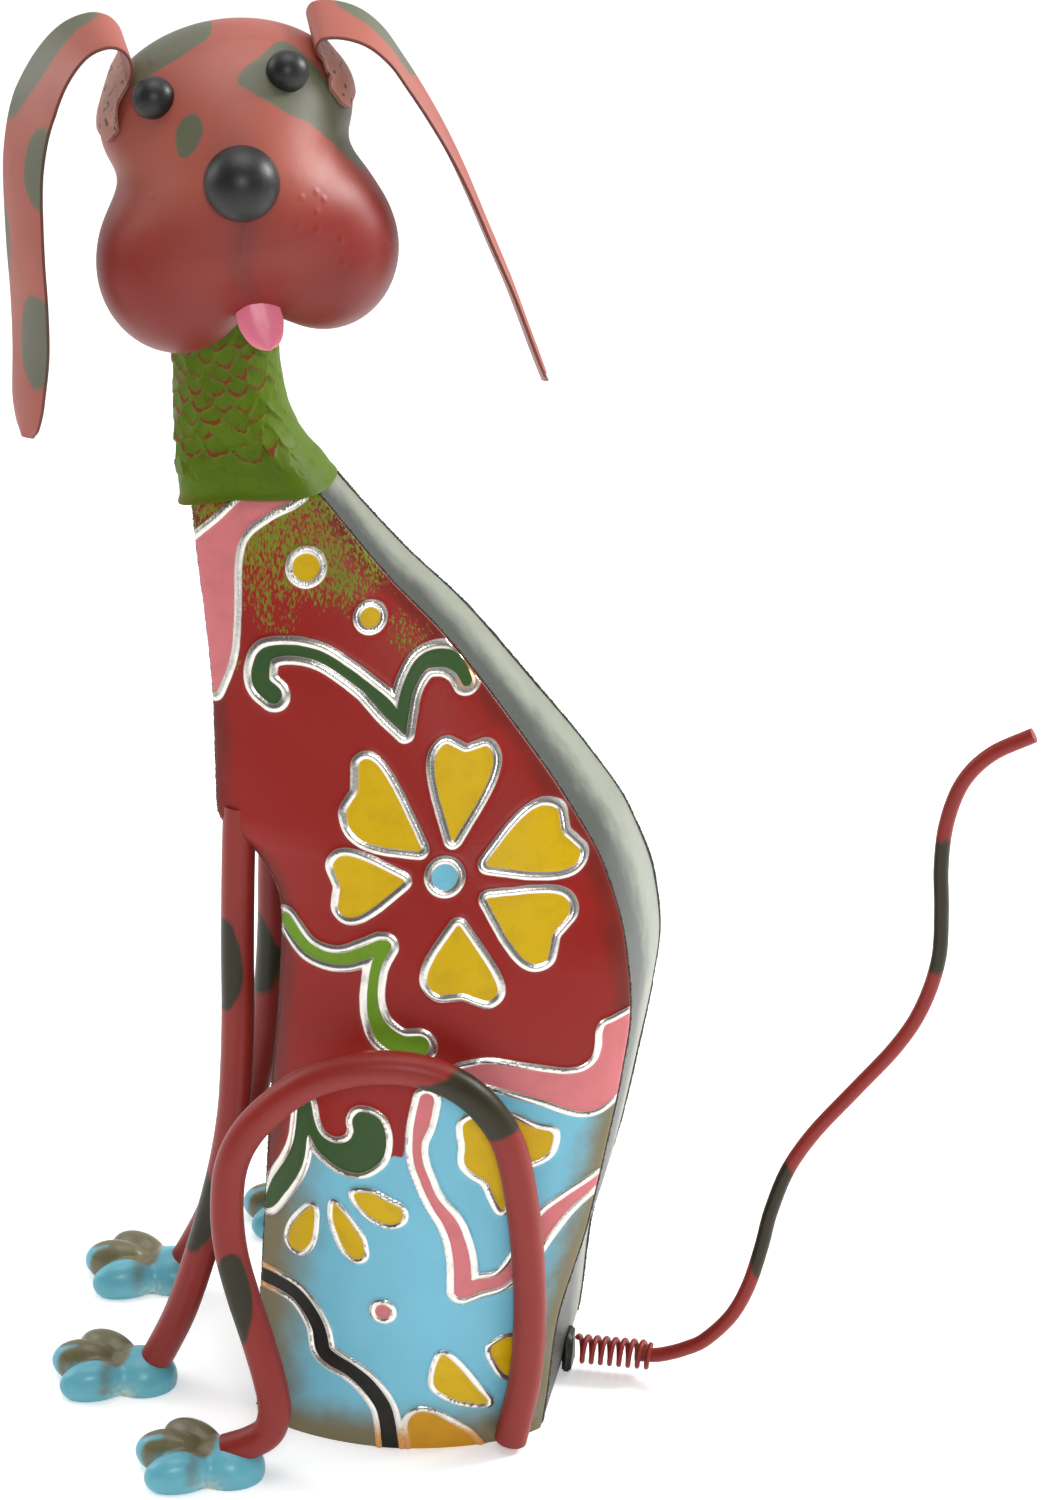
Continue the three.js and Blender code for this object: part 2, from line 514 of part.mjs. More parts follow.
// The tail: a rod that starts inside the spring's last turns and swings up and back.
const TAIL = [[82, 0, 9.5], [89, 0, 9.6], [95, 0, 11.2], [101, 0, 13.8], [108.3, 0, 18.4], [117.9, 0, 29.7], [124.2, 0, 43.5],
  [128.7, 0, 60.6], [131.8, 0, 75.6], [137.6, 0, 93.6], [146.8, 0, 110], [160.5, 0, 128.2], [175.6, 0, 148.2],
  [184.4, 0, 164.8], [189.6, 0, 184.4], [190, 0, 203.4], [189.2, 0, 222], [190.6, 0, 239], [195.6, 0, 254.6],
  [205, 0, 266], [219.5, 0, 274.5]];
piece(dog, 'tail', bar(curve(TAIL), TAIL_RADIUS, 6, 31), RED);

export default dog;
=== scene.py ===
# A sitting garden dog welded from painted sheet steel, tube and rod.
# +Z up; the body faces -X, its tail is on +X, and the decorated left side lies on -Y.
import math

import bmesh
import bpy
import numpy as np
from mathutils import Matrix, Vector


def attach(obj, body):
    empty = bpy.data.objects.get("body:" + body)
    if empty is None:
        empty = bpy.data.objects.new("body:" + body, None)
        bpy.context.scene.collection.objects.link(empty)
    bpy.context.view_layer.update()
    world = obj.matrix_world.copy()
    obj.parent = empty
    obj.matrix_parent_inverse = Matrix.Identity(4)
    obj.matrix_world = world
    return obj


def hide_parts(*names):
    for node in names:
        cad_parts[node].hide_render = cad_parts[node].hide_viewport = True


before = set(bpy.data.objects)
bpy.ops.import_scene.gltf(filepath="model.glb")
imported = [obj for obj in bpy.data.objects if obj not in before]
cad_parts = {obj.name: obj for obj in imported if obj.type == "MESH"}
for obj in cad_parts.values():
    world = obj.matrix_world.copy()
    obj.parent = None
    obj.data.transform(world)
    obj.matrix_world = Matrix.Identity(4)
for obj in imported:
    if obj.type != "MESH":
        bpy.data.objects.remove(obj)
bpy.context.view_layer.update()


# Side panels: two sheets of steel, pressed with flowers and scrolls from behind, bowed outwards and
# welded along their edges. The ground is sprayed red and blue, the fills are brushed in and the
# pressed lines silvered. The red darkens towards the front and back edges, partly a brown wash and
# partly painted shade where the bowed sheet turns away.
FRONT_EDGE = [(0, -53), (47, -50.7), (89, -48), (137, -45), (172, -42), (198, -41), (207, -41.5),
              (213, -43.5), (220, -47.5), (226, -52.5), (231, -60), (238, -65), (256, -66), (278, -67),
              (306, -70), (327, -73), (349, -75.5), (362, -76.5)]
BACK_EDGE = [(0, 53), (12, 54.7), (44, 58.4), (85, 69), (122, 76.5), (150, 81.4), (173, 83.9),
             (195, 81.9), (224, 73), (248, 58.6), (273, 39.8), (304, 14.5), (324, -6), (353, -31),
             (362, -38)]
FRONT_HALF = [(0, 48), (100, 46), (200, 39), (250, 31), (300, 23), (350, 15.5), (362, 14)]
BACK_HALF = [(0, 42), (100, 40), (188, 35), (218, 29), (269, 21), (319, 16), (350, 13.5), (362, 13)]
SWELL = [(0, 20), (100, 20), (200, 16), (270, 11), (330, 6), (362, 4)]
BODY_TOP = 362
SHEET = 1.2
MM = 0.001
HANDS = [(-1, "left"), (1, "right")]


def through(pairs, at):
    """A smooth curve through (place, value) pairs that never overshoots them."""
    places, values = np.array(pairs, float).T
    at = np.clip(at, places[0], places[-1])
    slope = np.diff(values) / np.diff(places)
    before = np.r_[slope[0], slope]
    after = np.r_[slope, slope[-1]]
    same_way = before * after > 0
    tangent = np.where(same_way, 2 * before * after / np.where(same_way, before + after, 1), 0)
    i = np.clip(np.searchsorted(places, at) - 1, 0, len(slope) - 1)
    span = places[i + 1] - places[i]
    t = (at - places[i]) / span
    rise = t * t * (3 - 2 * t)
    bend = span * t * (1 - t) * ((1 - t) * tangent[i] - t * tangent[i + 1])
    return values[i] * (1 - rise) + values[i + 1] * rise + bend


def half_width(s, z):
    """Half the body's width at s of the way from its front edge to its back edge."""
    flat = through(FRONT_HALF, z) * (1 - s) + through(BACK_HALF, z) * s
    return flat + through(SWELL, z) * (4 * s * (1 - s)) ** 0.8


def smooth_line(points, closed, steps=6):
    """Points on a Catmull-Rom curve through a short list of points."""
    p = np.array(points, float)
    if closed:
        p = np.vstack([p[-1:], p, p[:2]])
    else:
        p = np.vstack([2 * p[:1] - p[1:2], p, 2 * p[-1:] - p[-2:-1]])
    a, b, c, d = p[:-3, None], p[1:-2, None], p[2:-1, None], p[3:, None]
    t = np.linspace(0, 1, steps, endpoint=False)[None, :, None]
    curve = 0.5 * (2 * b + (c - a) * t + (2 * a - 5 * b + 4 * c - d) * t ** 2
                   + (3 * b - a - 3 * c + d) * t ** 3)
    curve = curve.reshape(-1, p.shape[1])
    return curve if closed else np.vstack([curve, p[-2:-1]])


def segment_gap(start, end, x, z):
    """The share along a segment that lies nearest to each place, and the distance to it there."""
    dx, dz = end[0] - start[0], end[1] - start[1]
    t = np.clip(((x - start[0]) * dx + (z - start[1]) * dz) / max(dx * dx + dz * dz, 1e-9), 0, 1)
    return t, np.hypot(x - start[0] - t * dx, z - start[1] - t * dz)


def ribbon_distance(points, x, z):
    """Distance to a brushed band through (x, z, half width), below zero inside it."""
    line = smooth_line(points, False)
    best = np.full(x.shape, 1e3)
    for a, b in zip(line[:-1], line[1:]):
        t, gap = segment_gap(a, b, x, z)
        best = np.minimum(best, gap - (a[2] + (b[2] - a[2]) * t))
    return best


def band_distance(arms, x, z):
    """Distance to a motif of two brushed bands that meet."""
    return np.minimum(*(ribbon_distance(arm, x, z) for arm in arms))


def outline_distance(points, x, z):
    """Distance to a closed outline through (x, z), below zero inside it."""
    ring = smooth_line(points, True)
    best = np.full(x.shape, 1e3)
    inside = np.zeros(x.shape, bool)
    for a, b in zip(ring, np.roll(ring, -1, 0)):
        best = np.minimum(best, segment_gap(a, b, x, z)[1])
        rise = b[1] - a[1] if abs(b[1] - a[1]) > 1e-9 else 1e-9
        crosses = (a[1] > z) != (b[1] > z)
        inside ^= crosses & (x < a[0] + (z - a[1]) * (b[0] - a[0]) / rise)
    return np.where(inside, -best, best)


def dot_distance(centre, radius, x, z):
    return np.hypot(x - centre[0], z - centre[1]) - radius


def petal_outline(tip, left, right):
    """A petal from its tip to the two lobes of its heart-shaped end."""
    tip, left, right = (np.array(p, float) for p in (tip, left, right))
    along = (left + right) / 2 - tip
    across = (right - left) / 2 / 0.66
    side = [(0.16, 0.08), (0.4, 0.25), (0.7, 0.47), (0.95, 0.72), (0.96, 0.9), (0.7, 1.01), (0.35, 0.98)]
    shape = [(0, -0.01)] + side + [(0, 0.94)] + [(-u, v) for u, v in reversed(side)]
    return [tip + along * v + across * u for u, v in shape]


def colour(red, green, blue):
    """A paint's screen values, 0 to 255, as linear light."""
    shares = [v / 255 for v in (red, green, blue)]
    return tuple(((v + 0.055) / 1.055) ** 2.4 if v > 0.04 else v / 12.92 for v in shares) + (1,)


YELLOW = colour(206, 168, 0)
LEAF_GREEN = colour(48, 80, 38)
VINE_GREEN = colour(104, 145, 28)
PINK = colour(206, 116, 120)
SKY = colour(112, 184, 208)
BLACK = colour(22, 20, 18)
AMBER = colour(196, 140, 20)

FLOWER = [((21.3, 236.9), (17.5, 269), (30.8, 267.5)), ((33.5, 228.8), (56, 245.2), (64.3, 231.4)),
          ((34.5, 217.4), (62.3, 211.4), (55.7, 196.8)), ((24.9, 208.1), (35.5, 182), (18.9, 183.5)),
          ((4.8, 222.7), (-18.6, 210.3), (-20.7, 225.1)), ((10.3, 233.6), (-12.3, 261.9), (-16.3, 244.9))]
FLOWER_EYE = (19.2, 224.6)
DOTS = [((-33.6, 328.6), 4.7, 2.6), ((-10.8, 311.9), 3.4, 2.5)]
SCROLL = [[(-44.2, 283.8, 3.4), (-48.4, 287.2, 3.4), (-48.8, 292.5, 3.2), (-47, 297.3, 2.7),
           (-42, 299.4, 2.1), (-34.8, 299.8, 1.9), (-26.9, 298.2, 1.9), (-18.3, 293.4, 1.8),
           (-10.8, 288.1, 1.9), (-2.9, 280.8, 2.5), (3, 273, 0.5)],
          [(22.9, 289.6, 1.8), (20.6, 293.6, 2.1), (16.8, 296.9, 2.8), (12.4, 297.7, 3),
           (8.2, 296.5, 2.7), (5.1, 292.4, 2.3), (3, 286.8, 2.1), (2, 280, 2.1), (3, 273, 0.5)]]
VINE = [[(-39, 201, 2.5), (-31.2, 193.5, 2.3), (-23.5, 191.3, 2.1), (-16.1, 192.1, 2.1),
         (-8.8, 195.5, 2.3), (-2.7, 198.6, 2.5)],
        [(-0.9, 199.2, 2.1), (-3.7, 193, 1.9), (-5.1, 185.7, 1.8), (-5.4, 178.3, 2.1), (-3.9, 171.2, 2.8),
         (-0.2, 166, 3.7), (5.8, 163.4, 3.5), (12, 163.7, 3.7)]]
SCARF = [(-35.6, 354.6), (-38, 351.5), (-47.3, 346.8), (-55.7, 339.7), (-58.8, 329.7), (-59, 311.8),
         (-60, 296.4), (-64.3, 284), (-66.9, 280.5), (-72, 283), (-74, 298), (-76, 314), (-77, 326),
         (-74, 334), (-64.4, 343.3), (-57.8, 350), (-49.4, 356.5), (-40, 358)]
PINK_BAND = [(24.6, 154.7), (30, 157), (37, 158.2), (46.6, 156.5), (56, 154.3), (63.6, 152.8),
             (69.2, 153.3), (73.3, 156.4), (75, 161.6), (75.5, 168.3), (78, 170.5), (90, 171), (90, 142),
             (81.6, 141.7), (74.7, 137), (69, 136.8), (63.7, 139), (56.2, 143), (46.7, 146.8),
             (37, 150.2), (30, 152.2)]
BLUE_GROUND = [(-70, -30), (-70, 84), (-51, 86.4), (-47.9, 86), (-43.3, 90), (-37.2, 98.8),
               (-32.3, 108.2), (-29.6, 119.8), (-25.9, 117), (-20.4, 112.2), (-13.4, 110.2),
               (-6.6, 111.8), (-0.7, 117), (3, 120.4), (6.6, 121.2), (8, 134.4), (12.2, 144), (21, 150.7),
               (31, 151.5), (46.7, 146.3), (63.8, 138.4), (74.7, 136), (79, 137.7), (100, 144),
               (100, -30)]
YELLOW_LEAF = [(28.7, 135.7), (40.6, 138.7), (52.7, 132.5), (58.8, 129.8), (58, 123), (54.8, 120),
               (49.3, 117.3), (45, 107.6), (41.9, 100), (39, 105.3), (36.3, 111.8), (31.4, 115.8),
               (28.5, 120), (28.8, 126)]
CURLED_LEAF = [(-33.3, 135.6), (-29, 136), (-27.2, 129), (-24.4, 124), (-19.3, 122.2), (-14.3, 123.8),
               (-12, 127.7), (-12.5, 132.2), (-10, 135.7), (-5.4, 136), (-1.6, 133.6), (0.3, 127.7),
               (-0.7, 119.6), (-5.5, 114.3), (-10.8, 112), (-17.3, 112.7), (-22.8, 115.5), (-26.7, 118.7),
               (-29.6, 122.5), (-31, 113.2), (-34, 105), (-39, 96.6), (-44.6, 88.4), (-48.8, 86.6),
               (-45.5, 98), (-39.8, 108.4), (-36, 117), (-34.5, 126)]
DROPS = [[(-27.8, 94.7), (-27.5, 86), (-29.2, 79.3), (-33.3, 75.2), (-37, 76.3), (-37.8, 80),
         (-34.8, 87.2)],
         [(-19.5, 98), (-16, 95.2), (-12.6, 91), (-9, 85.3), (-8.2, 79.3), (-11.2, 77.3), (-15, 80),
          (-18, 85.5), (-20, 92)],
         [(-11.9, 103.3), (-5.6, 105), (0.6, 102.5), (5.8, 100), (6.3, 96), (2.7, 93.4), (-2.5, 94),
         (-7.6, 97)],
         [(20.7, 39.8), (26, 34.2), (31.8, 25), (36, 18.3), (33.7, 17.7), (26.9, 19.5), (21.2, 22.6),
          (17, 27.5), (18.2, 36)],
         [(37, 39.8), (39.5, 43.5), (44.2, 44.7), (49, 40.8), (49.5, 33.6), (46, 28.4), (41.4, 29.3)]]
ZIGZAG = [[(15, 143.4, 2.7), (13.4, 135, 2.8), (11.7, 127.3, 1.8), (12, 119.8, 1.7), (14.6, 111.8, 1.7),
           (18, 104, 1.8), (23.4, 95.6, 2.5), (26, 88, 2.7), (27.5, 79, 3), (27.7, 68, 3.2)],
          [(27.7, 67, 3.2), (33.7, 68.8, 2.8), (40.6, 70.2, 2.5), (47.5, 77, 2.8), (56.7, 92.5, 3.5),
           (64.4, 100.2, 2.5), (74.2, 106.6, 1.6)]]
BLACK_WAVE = [(-56, 58, 2.8), (-43.5, 59.2, 2.8), (-35.2, 57.5, 2.8), (-29.6, 52.4, 2.8),
              (-25.8, 45.6, 2.8), (-24.3, 37.8, 3), (-21, 34.6, 3), (-13.5, 31, 2.8), (-7.2, 26, 3),
              (-2, 18.7, 3), (0, 11.6, 3), (1.3, -2, 3.2)]
HALF_MOON = [(8.6, 1.4), (7.6, 11), (11.2, 15.7), (17, 15), (24, 9.8), (29.8, 4.3), (32.6, -4), (20, -8),
             (9, -6)]
PINK_DOT = (-1.2, 57.3)


def motifs(side, x, z):
    """The pressed motifs of one side: paint, width of the silver line, and distance to the fill."""
    made = [(YELLOW, 2.8, outline_distance(petal_outline(*petal), x, z)) for petal in FLOWER]
    made.append((SKY, 2.7, dot_distance(FLOWER_EYE, 4.5, x, z)))
    made.append((LEAF_GREEN, 3, band_distance(SCROLL, x, z)))
    made += [(YELLOW, ring, dot_distance(centre, radius, x, z)) for centre, radius, ring in DOTS]
    if side > 0:
        return made
    shown = [(PINK, 2.8, outline_distance, SCARF), (VINE_GREEN, 2.8, band_distance, VINE),
             (PINK, 2.4, outline_distance, PINK_BAND), (PINK, 2.5, band_distance, ZIGZAG),
             (YELLOW, 2.4, outline_distance, YELLOW_LEAF),
             (LEAF_GREEN, 2.4, outline_distance, CURLED_LEAF)]
    shown += [(YELLOW, 2, outline_distance, drop) for drop in DROPS]
    shown += [(BLACK, 2.2, ribbon_distance, BLACK_WAVE), (AMBER, 2.2, outline_distance, HALF_MOON)]
    made += [(paint, width, distance(shape, x, z)) for paint, width, distance, shape in shown]
    made.append((PINK, 2.3, dot_distance(PINK_DOT, 2.9, x, z)))
    return made


def grid_faces(columns, rows, start=0, flip=False):
    """Quads between rows of points that each hold columns points."""
    i, j = np.meshgrid(np.arange(columns - 1), np.arange(rows - 1))
    a = (start + j * columns + i).ravel()
    quads = np.stack([a, a + 1, a + columns + 1, a + columns], 1)
    return (quads[:, ::-1] if flip else quads).tolist()


def ring_faces(columns, rows, start=0, flip=False):
    """Quads between closed rings that each hold columns points."""
    i, j = np.meshgrid(np.arange(columns), np.arange(rows - 1))
    a = (start + j * columns + i).ravel()
    b = (start + j * columns + (i + 1) % columns).ravel()
    quads = np.stack([a, b, b + columns, a + columns], 1)
    return (quads[:, [0, 3, 2, 1]] if flip else quads).tolist()


def sheet_faces(columns, rows, flip):
    """The two faces of a sheet, each a grid of points, and the edge that joins them."""
    count = rows * columns
    faces = grid_faces(columns, rows, 0, flip) + grid_faces(columns, rows, count, not flip)
    loop = list(range(columns)) + [r * columns + columns - 1 for r in range(1, rows)]
    loop += list(range(count - 2, count - columns - 1, -1)) + [r * columns for r in range(rows - 2, 0, -1)]
    for a, b in zip(loop, loop[1:] + loop[:1]):
        quad = [a, a + count, b + count, b]
        faces.append(quad[::-1] if flip else quad)
    return faces


def add_object(name, data):
    obj = bpy.data.objects.new(name, data)
    bpy.context.scene.collection.objects.link(obj)
    return obj


def new_piece(name, points, faces, material, layers=None, sharp=40):
    """A smooth mesh object from points in millimetres, with its painted layers stored on the points."""
    mesh = bpy.data.meshes.new(name)
    mesh.from_pydata((np.asarray(points, float) * MM).tolist(), [], faces)
    for key, values in (layers or {}).items():
        values = np.asarray(values, np.float32)
        kind, field = ("FLOAT_COLOR", "color") if values.ndim == 2 else ("FLOAT", "value")
        mesh.attributes.new(key, kind, "POINT").data.foreach_set(field, values.ravel())
    mesh.materials.append(material)
    mesh.polygons.foreach_set("use_smooth", np.ones(len(mesh.polygons), bool))
    mesh.set_sharp_from_angle(angle=math.radians(sharp))
    return add_object(name, mesh)


def fit(piece, slot, *nodes):
    """Fixes a piece to the figure in place of its plain solids."""
    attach(piece, "root")
    if nodes:
        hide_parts(*nodes)


class Paint:
    """A socket of a material's nodes; sums and products of it add Math nodes."""

    def __init__(self, tree, socket=None):
        self.tree = tree
        self.socket = socket

    def node(self, kind, settings=None, inputs=None, output=0):
        made = self.tree.nodes.new(kind)
        for key, value in (settings or {}).items():
            setattr(made, key, value)
        for key, value in (inputs or {}).items():
            if isinstance(value, Paint):
                self.tree.links.new(value.socket, made.inputs[key])
            else:
                made.inputs[key].default_value = value
        return Paint(self.tree, made.outputs[output])

    def math(self, operation, *values):
        return self.node("ShaderNodeMath", {"operation": operation}, dict(enumerate(values)))

    def __add__(self, other):
        return self.math("ADD", self, other)

    __radd__ = __add__

    def __sub__(self, other):
        return self.math("SUBTRACT", self, other)

    def __rsub__(self, other):
        return self.math("SUBTRACT", other, self)

    def __mul__(self, other):
        return self.math("MULTIPLY", self, other)

    __rmul__ = __mul__

    def __truediv__(self, other):
        return self.math("DIVIDE", self, other)

    def step(self, low, high):
        """0 below low, 1 above high, and a soft edge between."""
        return self.node("ShaderNodeMapRange", {"interpolation_type": "SMOOTHSTEP"},
                         {"Value": self, "From Min": low, "From Max": high})

    def most(self, other):
        return self.math("MAXIMUM", self, other)

    def least(self, other):
        return self.math("MINIMUM", self, other)

    def tint(self, under, over):
        """The colour over where this mask is 1, the colour under where it is 0."""
        return self.node("ShaderNodeMix", {"data_type": "RGBA"}, {0: self, 6: under, 7: over}, 2)

    def blend(self, under, over):
        """The number over where this mask is 1, the number under where it is 0."""
        return self.node("ShaderNodeMix", {}, {0: self, 2: under, 3: over})

    def bump(self, strength, distance):
        """The normal of a skin raised by this height; the distance is in metres."""
        return self.node("ShaderNodeBump", None, {"Strength": strength, "Distance": distance, "Height": self})

    def vector(self, operation, other=(0, 0, 0), output=0):
        return self.node("ShaderNodeVectorMath", {"operation": operation}, {0: self, 1: other}, output)

    def part(self, axis):
        """One of the three numbers of a place."""
        return self.node("ShaderNodeSeparateXYZ", None, {0: self}, axis)

    def noise(self, scale, detail=3.0, rough=0.55):
        return self.node("ShaderNodeTexNoise", {},
                         {"Vector": self, "Scale": scale, "Detail": detail, "Roughness": rough})

    def layer(self, name, output=2):
        """A painted layer stored on the piece's own points."""
        return self.node("ShaderNodeAttribute", {"attribute_name": name}, None, output)

    def place(self):
        return self.node("ShaderNodeTexCoord", None, None, 3)

    def spot(self, centre, radii, ragged=0.0, soft=0.1):
        """1 inside a sprayed spot about a place in metres, 0 outside."""
        size = self.vector("SUBTRACT", centre).vector("DIVIDE", radii).vector("LENGTH", output=1)
        return 1 - (size + ragged).step(1 - soft, 1 + soft)


def new_finish(name, **fixed):
    """A material whose shader has some sockets set to one value all over."""
    material = bpy.data.materials.new(name)
    material.use_nodes = True
    shader = material.node_tree.nodes["Principled BSDF"]
    for key, value in fixed.items():
        shader.inputs[key.replace("_", " ")].default_value = value
    return material, Paint(material.node_tree)


def apply_finish(material, **varying):
    """Links what changes over the surface to the material's shader."""
    shader = material.node_tree.nodes["Principled BSDF"]
    for key, value in varying.items():
        material.node_tree.links.new(value.socket, shader.inputs[key.replace("_", " ")])


def panel_finish():
    material, paint = new_finish("painted_pressed_sheet", Specular_IOR_Level=0.22)
    place = paint.place()
    line = paint.layer("line")
    ground = paint.layer("ground")
    front = paint.layer("from_front")
    back = paint.layer("from_back")
    height = place.part(2) * 1000
    shown = 1 - place.part(1).step(-0.005, 0.005)
    broad = place.noise(18, 2)
    cloudy = place.noise(70, 4)
    fine = place.noise(420, 3)

    base = broad.tint(colour(134, 26, 22), colour(150, 34, 27))
    # Darker near the front and back edges: partly a brown wash, partly painted shade where the bowed sheet
    # turns away.
    edge = 1 - (front.least(back) + (cloudy - 0.5) * 8).step(0.5, 9)
    base = (edge * 0.6).tint(base, colour(74, 34, 26))
    streaks = place.vector("MULTIPLY", (1, 1, 0.3)).noise(1300, 3, 0.6)
    patches = place.vector("MULTIPLY", (1, 1, 0.7)).noise(60, 3)
    thick = ((height - 296) / 56 + (patches - 0.5) * 2.2).step(0.1, 0.95) * shown
    scumble = (streaks + thick * 0.19).step(0.6, 0.7) * thick.step(0.02, 0.25)
    base = (scumble * 0.92).tint(base, cloudy.tint(colour(96, 116, 22), colour(122, 142, 30)))

    blue = 1 - (ground + (fine - 0.5) * 0.6).step(-0.4, 0.4)
    sky = cloudy.tint(colour(108, 178, 200), colour(120, 188, 210))
    sprayed = 1 - (front + (cloudy - 0.5) * 14).step(5, 28)
    sprayed = sprayed.most(1 - (height + (cloudy - 0.5) * 12).step(4, 22))
    sprayed = sprayed.most(1 - (back + (cloudy - 0.5) * 12).step(0, 14))
    sky = (sprayed * 0.88).tint(sky, colour(118, 92, 22))
    base = blue.tint(base, sky)

    wavy = line + (place.noise(180, 2) - 0.5) * 0.16
    filled = 1 - wavy.step(-0.07, 0.07)
    silver = (1 - filled) * (1 - wavy.step(0.9, 1.08))
    brushed = place.noise(150, 4)
    fill = (brushed.step(0.4, 0.75) * 0.12).tint(paint.layer("fill", 0), colour(92, 66, 22))
    base = filled.tint(base, fill)
    amber = (1 - (front + (cloudy - 0.5) * 8).step(2, 13)) * (1 - height.step(60, 78))
    amber = amber.most(1 - (height + (cloudy - 0.5) * 5).step(4, 13))
    scroll_end = place.spot((0.025, -0.03, 0.297), (0.012, 0.03, 0.009), 0.0, 0.5)
    amber = amber.most(scroll_end * brushed.step(0.4, 0.6))
    worn = place.noise(160, 3).step(0.5, 0.75) * 0.4
    bright = worn.tint(colour(216, 213, 206), colour(144, 138, 128))
    bright = (amber * 0.85).tint(bright, colour(206, 138, 40))
    base = silver.tint(base, bright)
    beside = line - 1.12
    dirt = (1 - beside.math("ABSOLUTE", beside).step(0.0, 0.22)) * fine.step(0.4, 0.7)
    base = (dirt * 0.3).tint(base, colour(60, 40, 32))

    metal = silver * (1 - amber * 0.5) * 0.92
    dull = silver.blend(filled.blend(0.34 + cloudy * 0.12, 0.4 + fine * 0.1), 0.2 + cloudy * 0.12)
    dull = dull + scumble * 0.15
    skin = place.noise(900, 2) * 0.25 + broad + streaks * scumble * 0.6
    apply_finish(material, Base_Color=base, Metallic=metal, Roughness=dull, Normal=skin.bump(0.22, 0.0012))
    return material


def side_panel(name, side, columns, rows, material):
    s = 0.5 - 0.5 * np.cos(np.linspace(0.08, 1, columns) * math.pi)
    s, z = np.meshgrid(s, np.linspace(0, BODY_TOP, rows))
    s = (s - s.min()) / (1 - s.min())
    s = 0.6 * s + 0.4 * np.linspace(0, 1, columns)[None]
    x_front, x_back = through(FRONT_EDGE, z), through(BACK_EDGE, z)
    x = x_front * (1 - s) + x_back * s
    nearest = np.full(x.shape, 9.0)
    fill = np.ones(x.shape + (4,))
    for paint, width, distance in motifs(side, x, z):
        line = distance / width
        nearer = line < nearest
        nearest = np.where(nearer, line, nearest)
        fill[nearer] = paint
    pressed = np.exp(-((nearest - 0.5) / 0.5) ** 2)
    puffed = np.clip(-nearest * 0.8, 0, 1)
    ripple = 0.22 * np.sin(x / 9 + z / 17) * np.sin(z / 11 - x / 23)
    rim = np.clip(np.minimum(x - x_front, x_back - x) / 4, 0, 1)
    relief = 1.05 * pressed + 0.3 * puffed * (2 - puffed) + ripple * rim
    tucked = through([(348, 0), (354, 0.5), (360, 1)], z)
    y = half_width(s, z) + relief * (1 - tucked) - 3 * tucked
    outer = np.stack([x, side * y, z], -1).reshape(-1, 3)
    inner_columns = 13
    t = 0.5 - 0.5 * np.cos(np.linspace(0, math.pi, inner_columns))
    t, h = np.meshgrid(t, np.linspace(0, BODY_TOP, rows))
    inner_x = through(FRONT_EDGE, h) * (1 - t) + through(BACK_EDGE, h) * t
    inner = np.stack([inner_x, side * (half_width(t, h) - SHEET), h], -1).reshape(-1, 3)
    count = columns * rows
    faces = grid_faces(columns, rows, 0, side > 0) + grid_faces(inner_columns, rows, count, side < 0)
    for row in range(rows - 1):
        a, b = row * columns, count + row * inner_columns
        low = [a, a + columns, b + inner_columns, b]
        high = [a + columns - 1, b + inner_columns - 1, b + 2 * inner_columns - 1, a + 2 * columns - 1]
        faces += [low[::-1] if side > 0 else low, high[::-1] if side > 0 else high]
    top, inner_top = count - columns, len(outer) + len(inner) - inner_columns
    foot = list(range(columns))[::-1] + list(range(count, count + inner_columns))
    head = list(range(top, top + columns)) + list(range(inner_top, inner_top + inner_columns))[::-1]
    faces += [foot[::-1] if side > 0 else foot, head[::-1] if side > 0 else head]
    if side < 0:
        blue = outline_distance(BLUE_GROUND, x, z)
    else:
        blue = z - 66 - 9 * np.sin(x / 13)
    spare = len(inner)
    layers = {"line": nearest, "ground": blue, "from_front": x - x_front, "from_back": x_back - x}
    layers = {key: np.r_[values.ravel(), np.full(spare, 9)] for key, values in layers.items()}
    layers["fill"] = np.vstack([fill.reshape(-1, 4), np.ones((spare, 4))])
    return new_piece(name, np.vstack([outer, inner]), faces, material, layers)


pressed_sheet = panel_finish()
fit(side_panel("left_side", -1, 172, 520, pressed_sheet), "body_red", "side_panel_left")
fit(side_panel("right_side", 1, 120, 340, pressed_sheet), "body_red", "side_panel_right")


# Back and front strips: narrow sheets let in between the panels and welded to them along both edges.
# They are sprayed dark grey-green, darkest along the welds on their -Y side; the rest is painted paler grey
# as painted sheen of the bright surroundings. The base plate closes the body underneath.
def strip_finish():
    material, paint = new_finish("sprayed_dark_strip", Specular_IOR_Level=0.3)
    place = paint.place()
    cloudy = place.noise(45, 4)
    fine = place.noise(380, 3)
    edge = 1 - (paint.layer("from_left") + (place.noise(110, 3) - 0.5) * 0.35).step(0.2, 0.72)
    # The pale grey ground is painted sheen; the dark grey-green paint shows in the airbrushed band on the -Y
    # side.
    base = cloudy.tint(colour(118, 124, 110), colour(142, 146, 132))
    base = (edge * 0.96).tint(base, fine.tint(colour(26, 32, 27), colour(46, 52, 43)))
    apply_finish(material, Base_Color=base, Roughness=0.38 + fine * 0.14,
                 Normal=(cloudy + fine * 0.2).bump(0.2, 0.001))
    return material


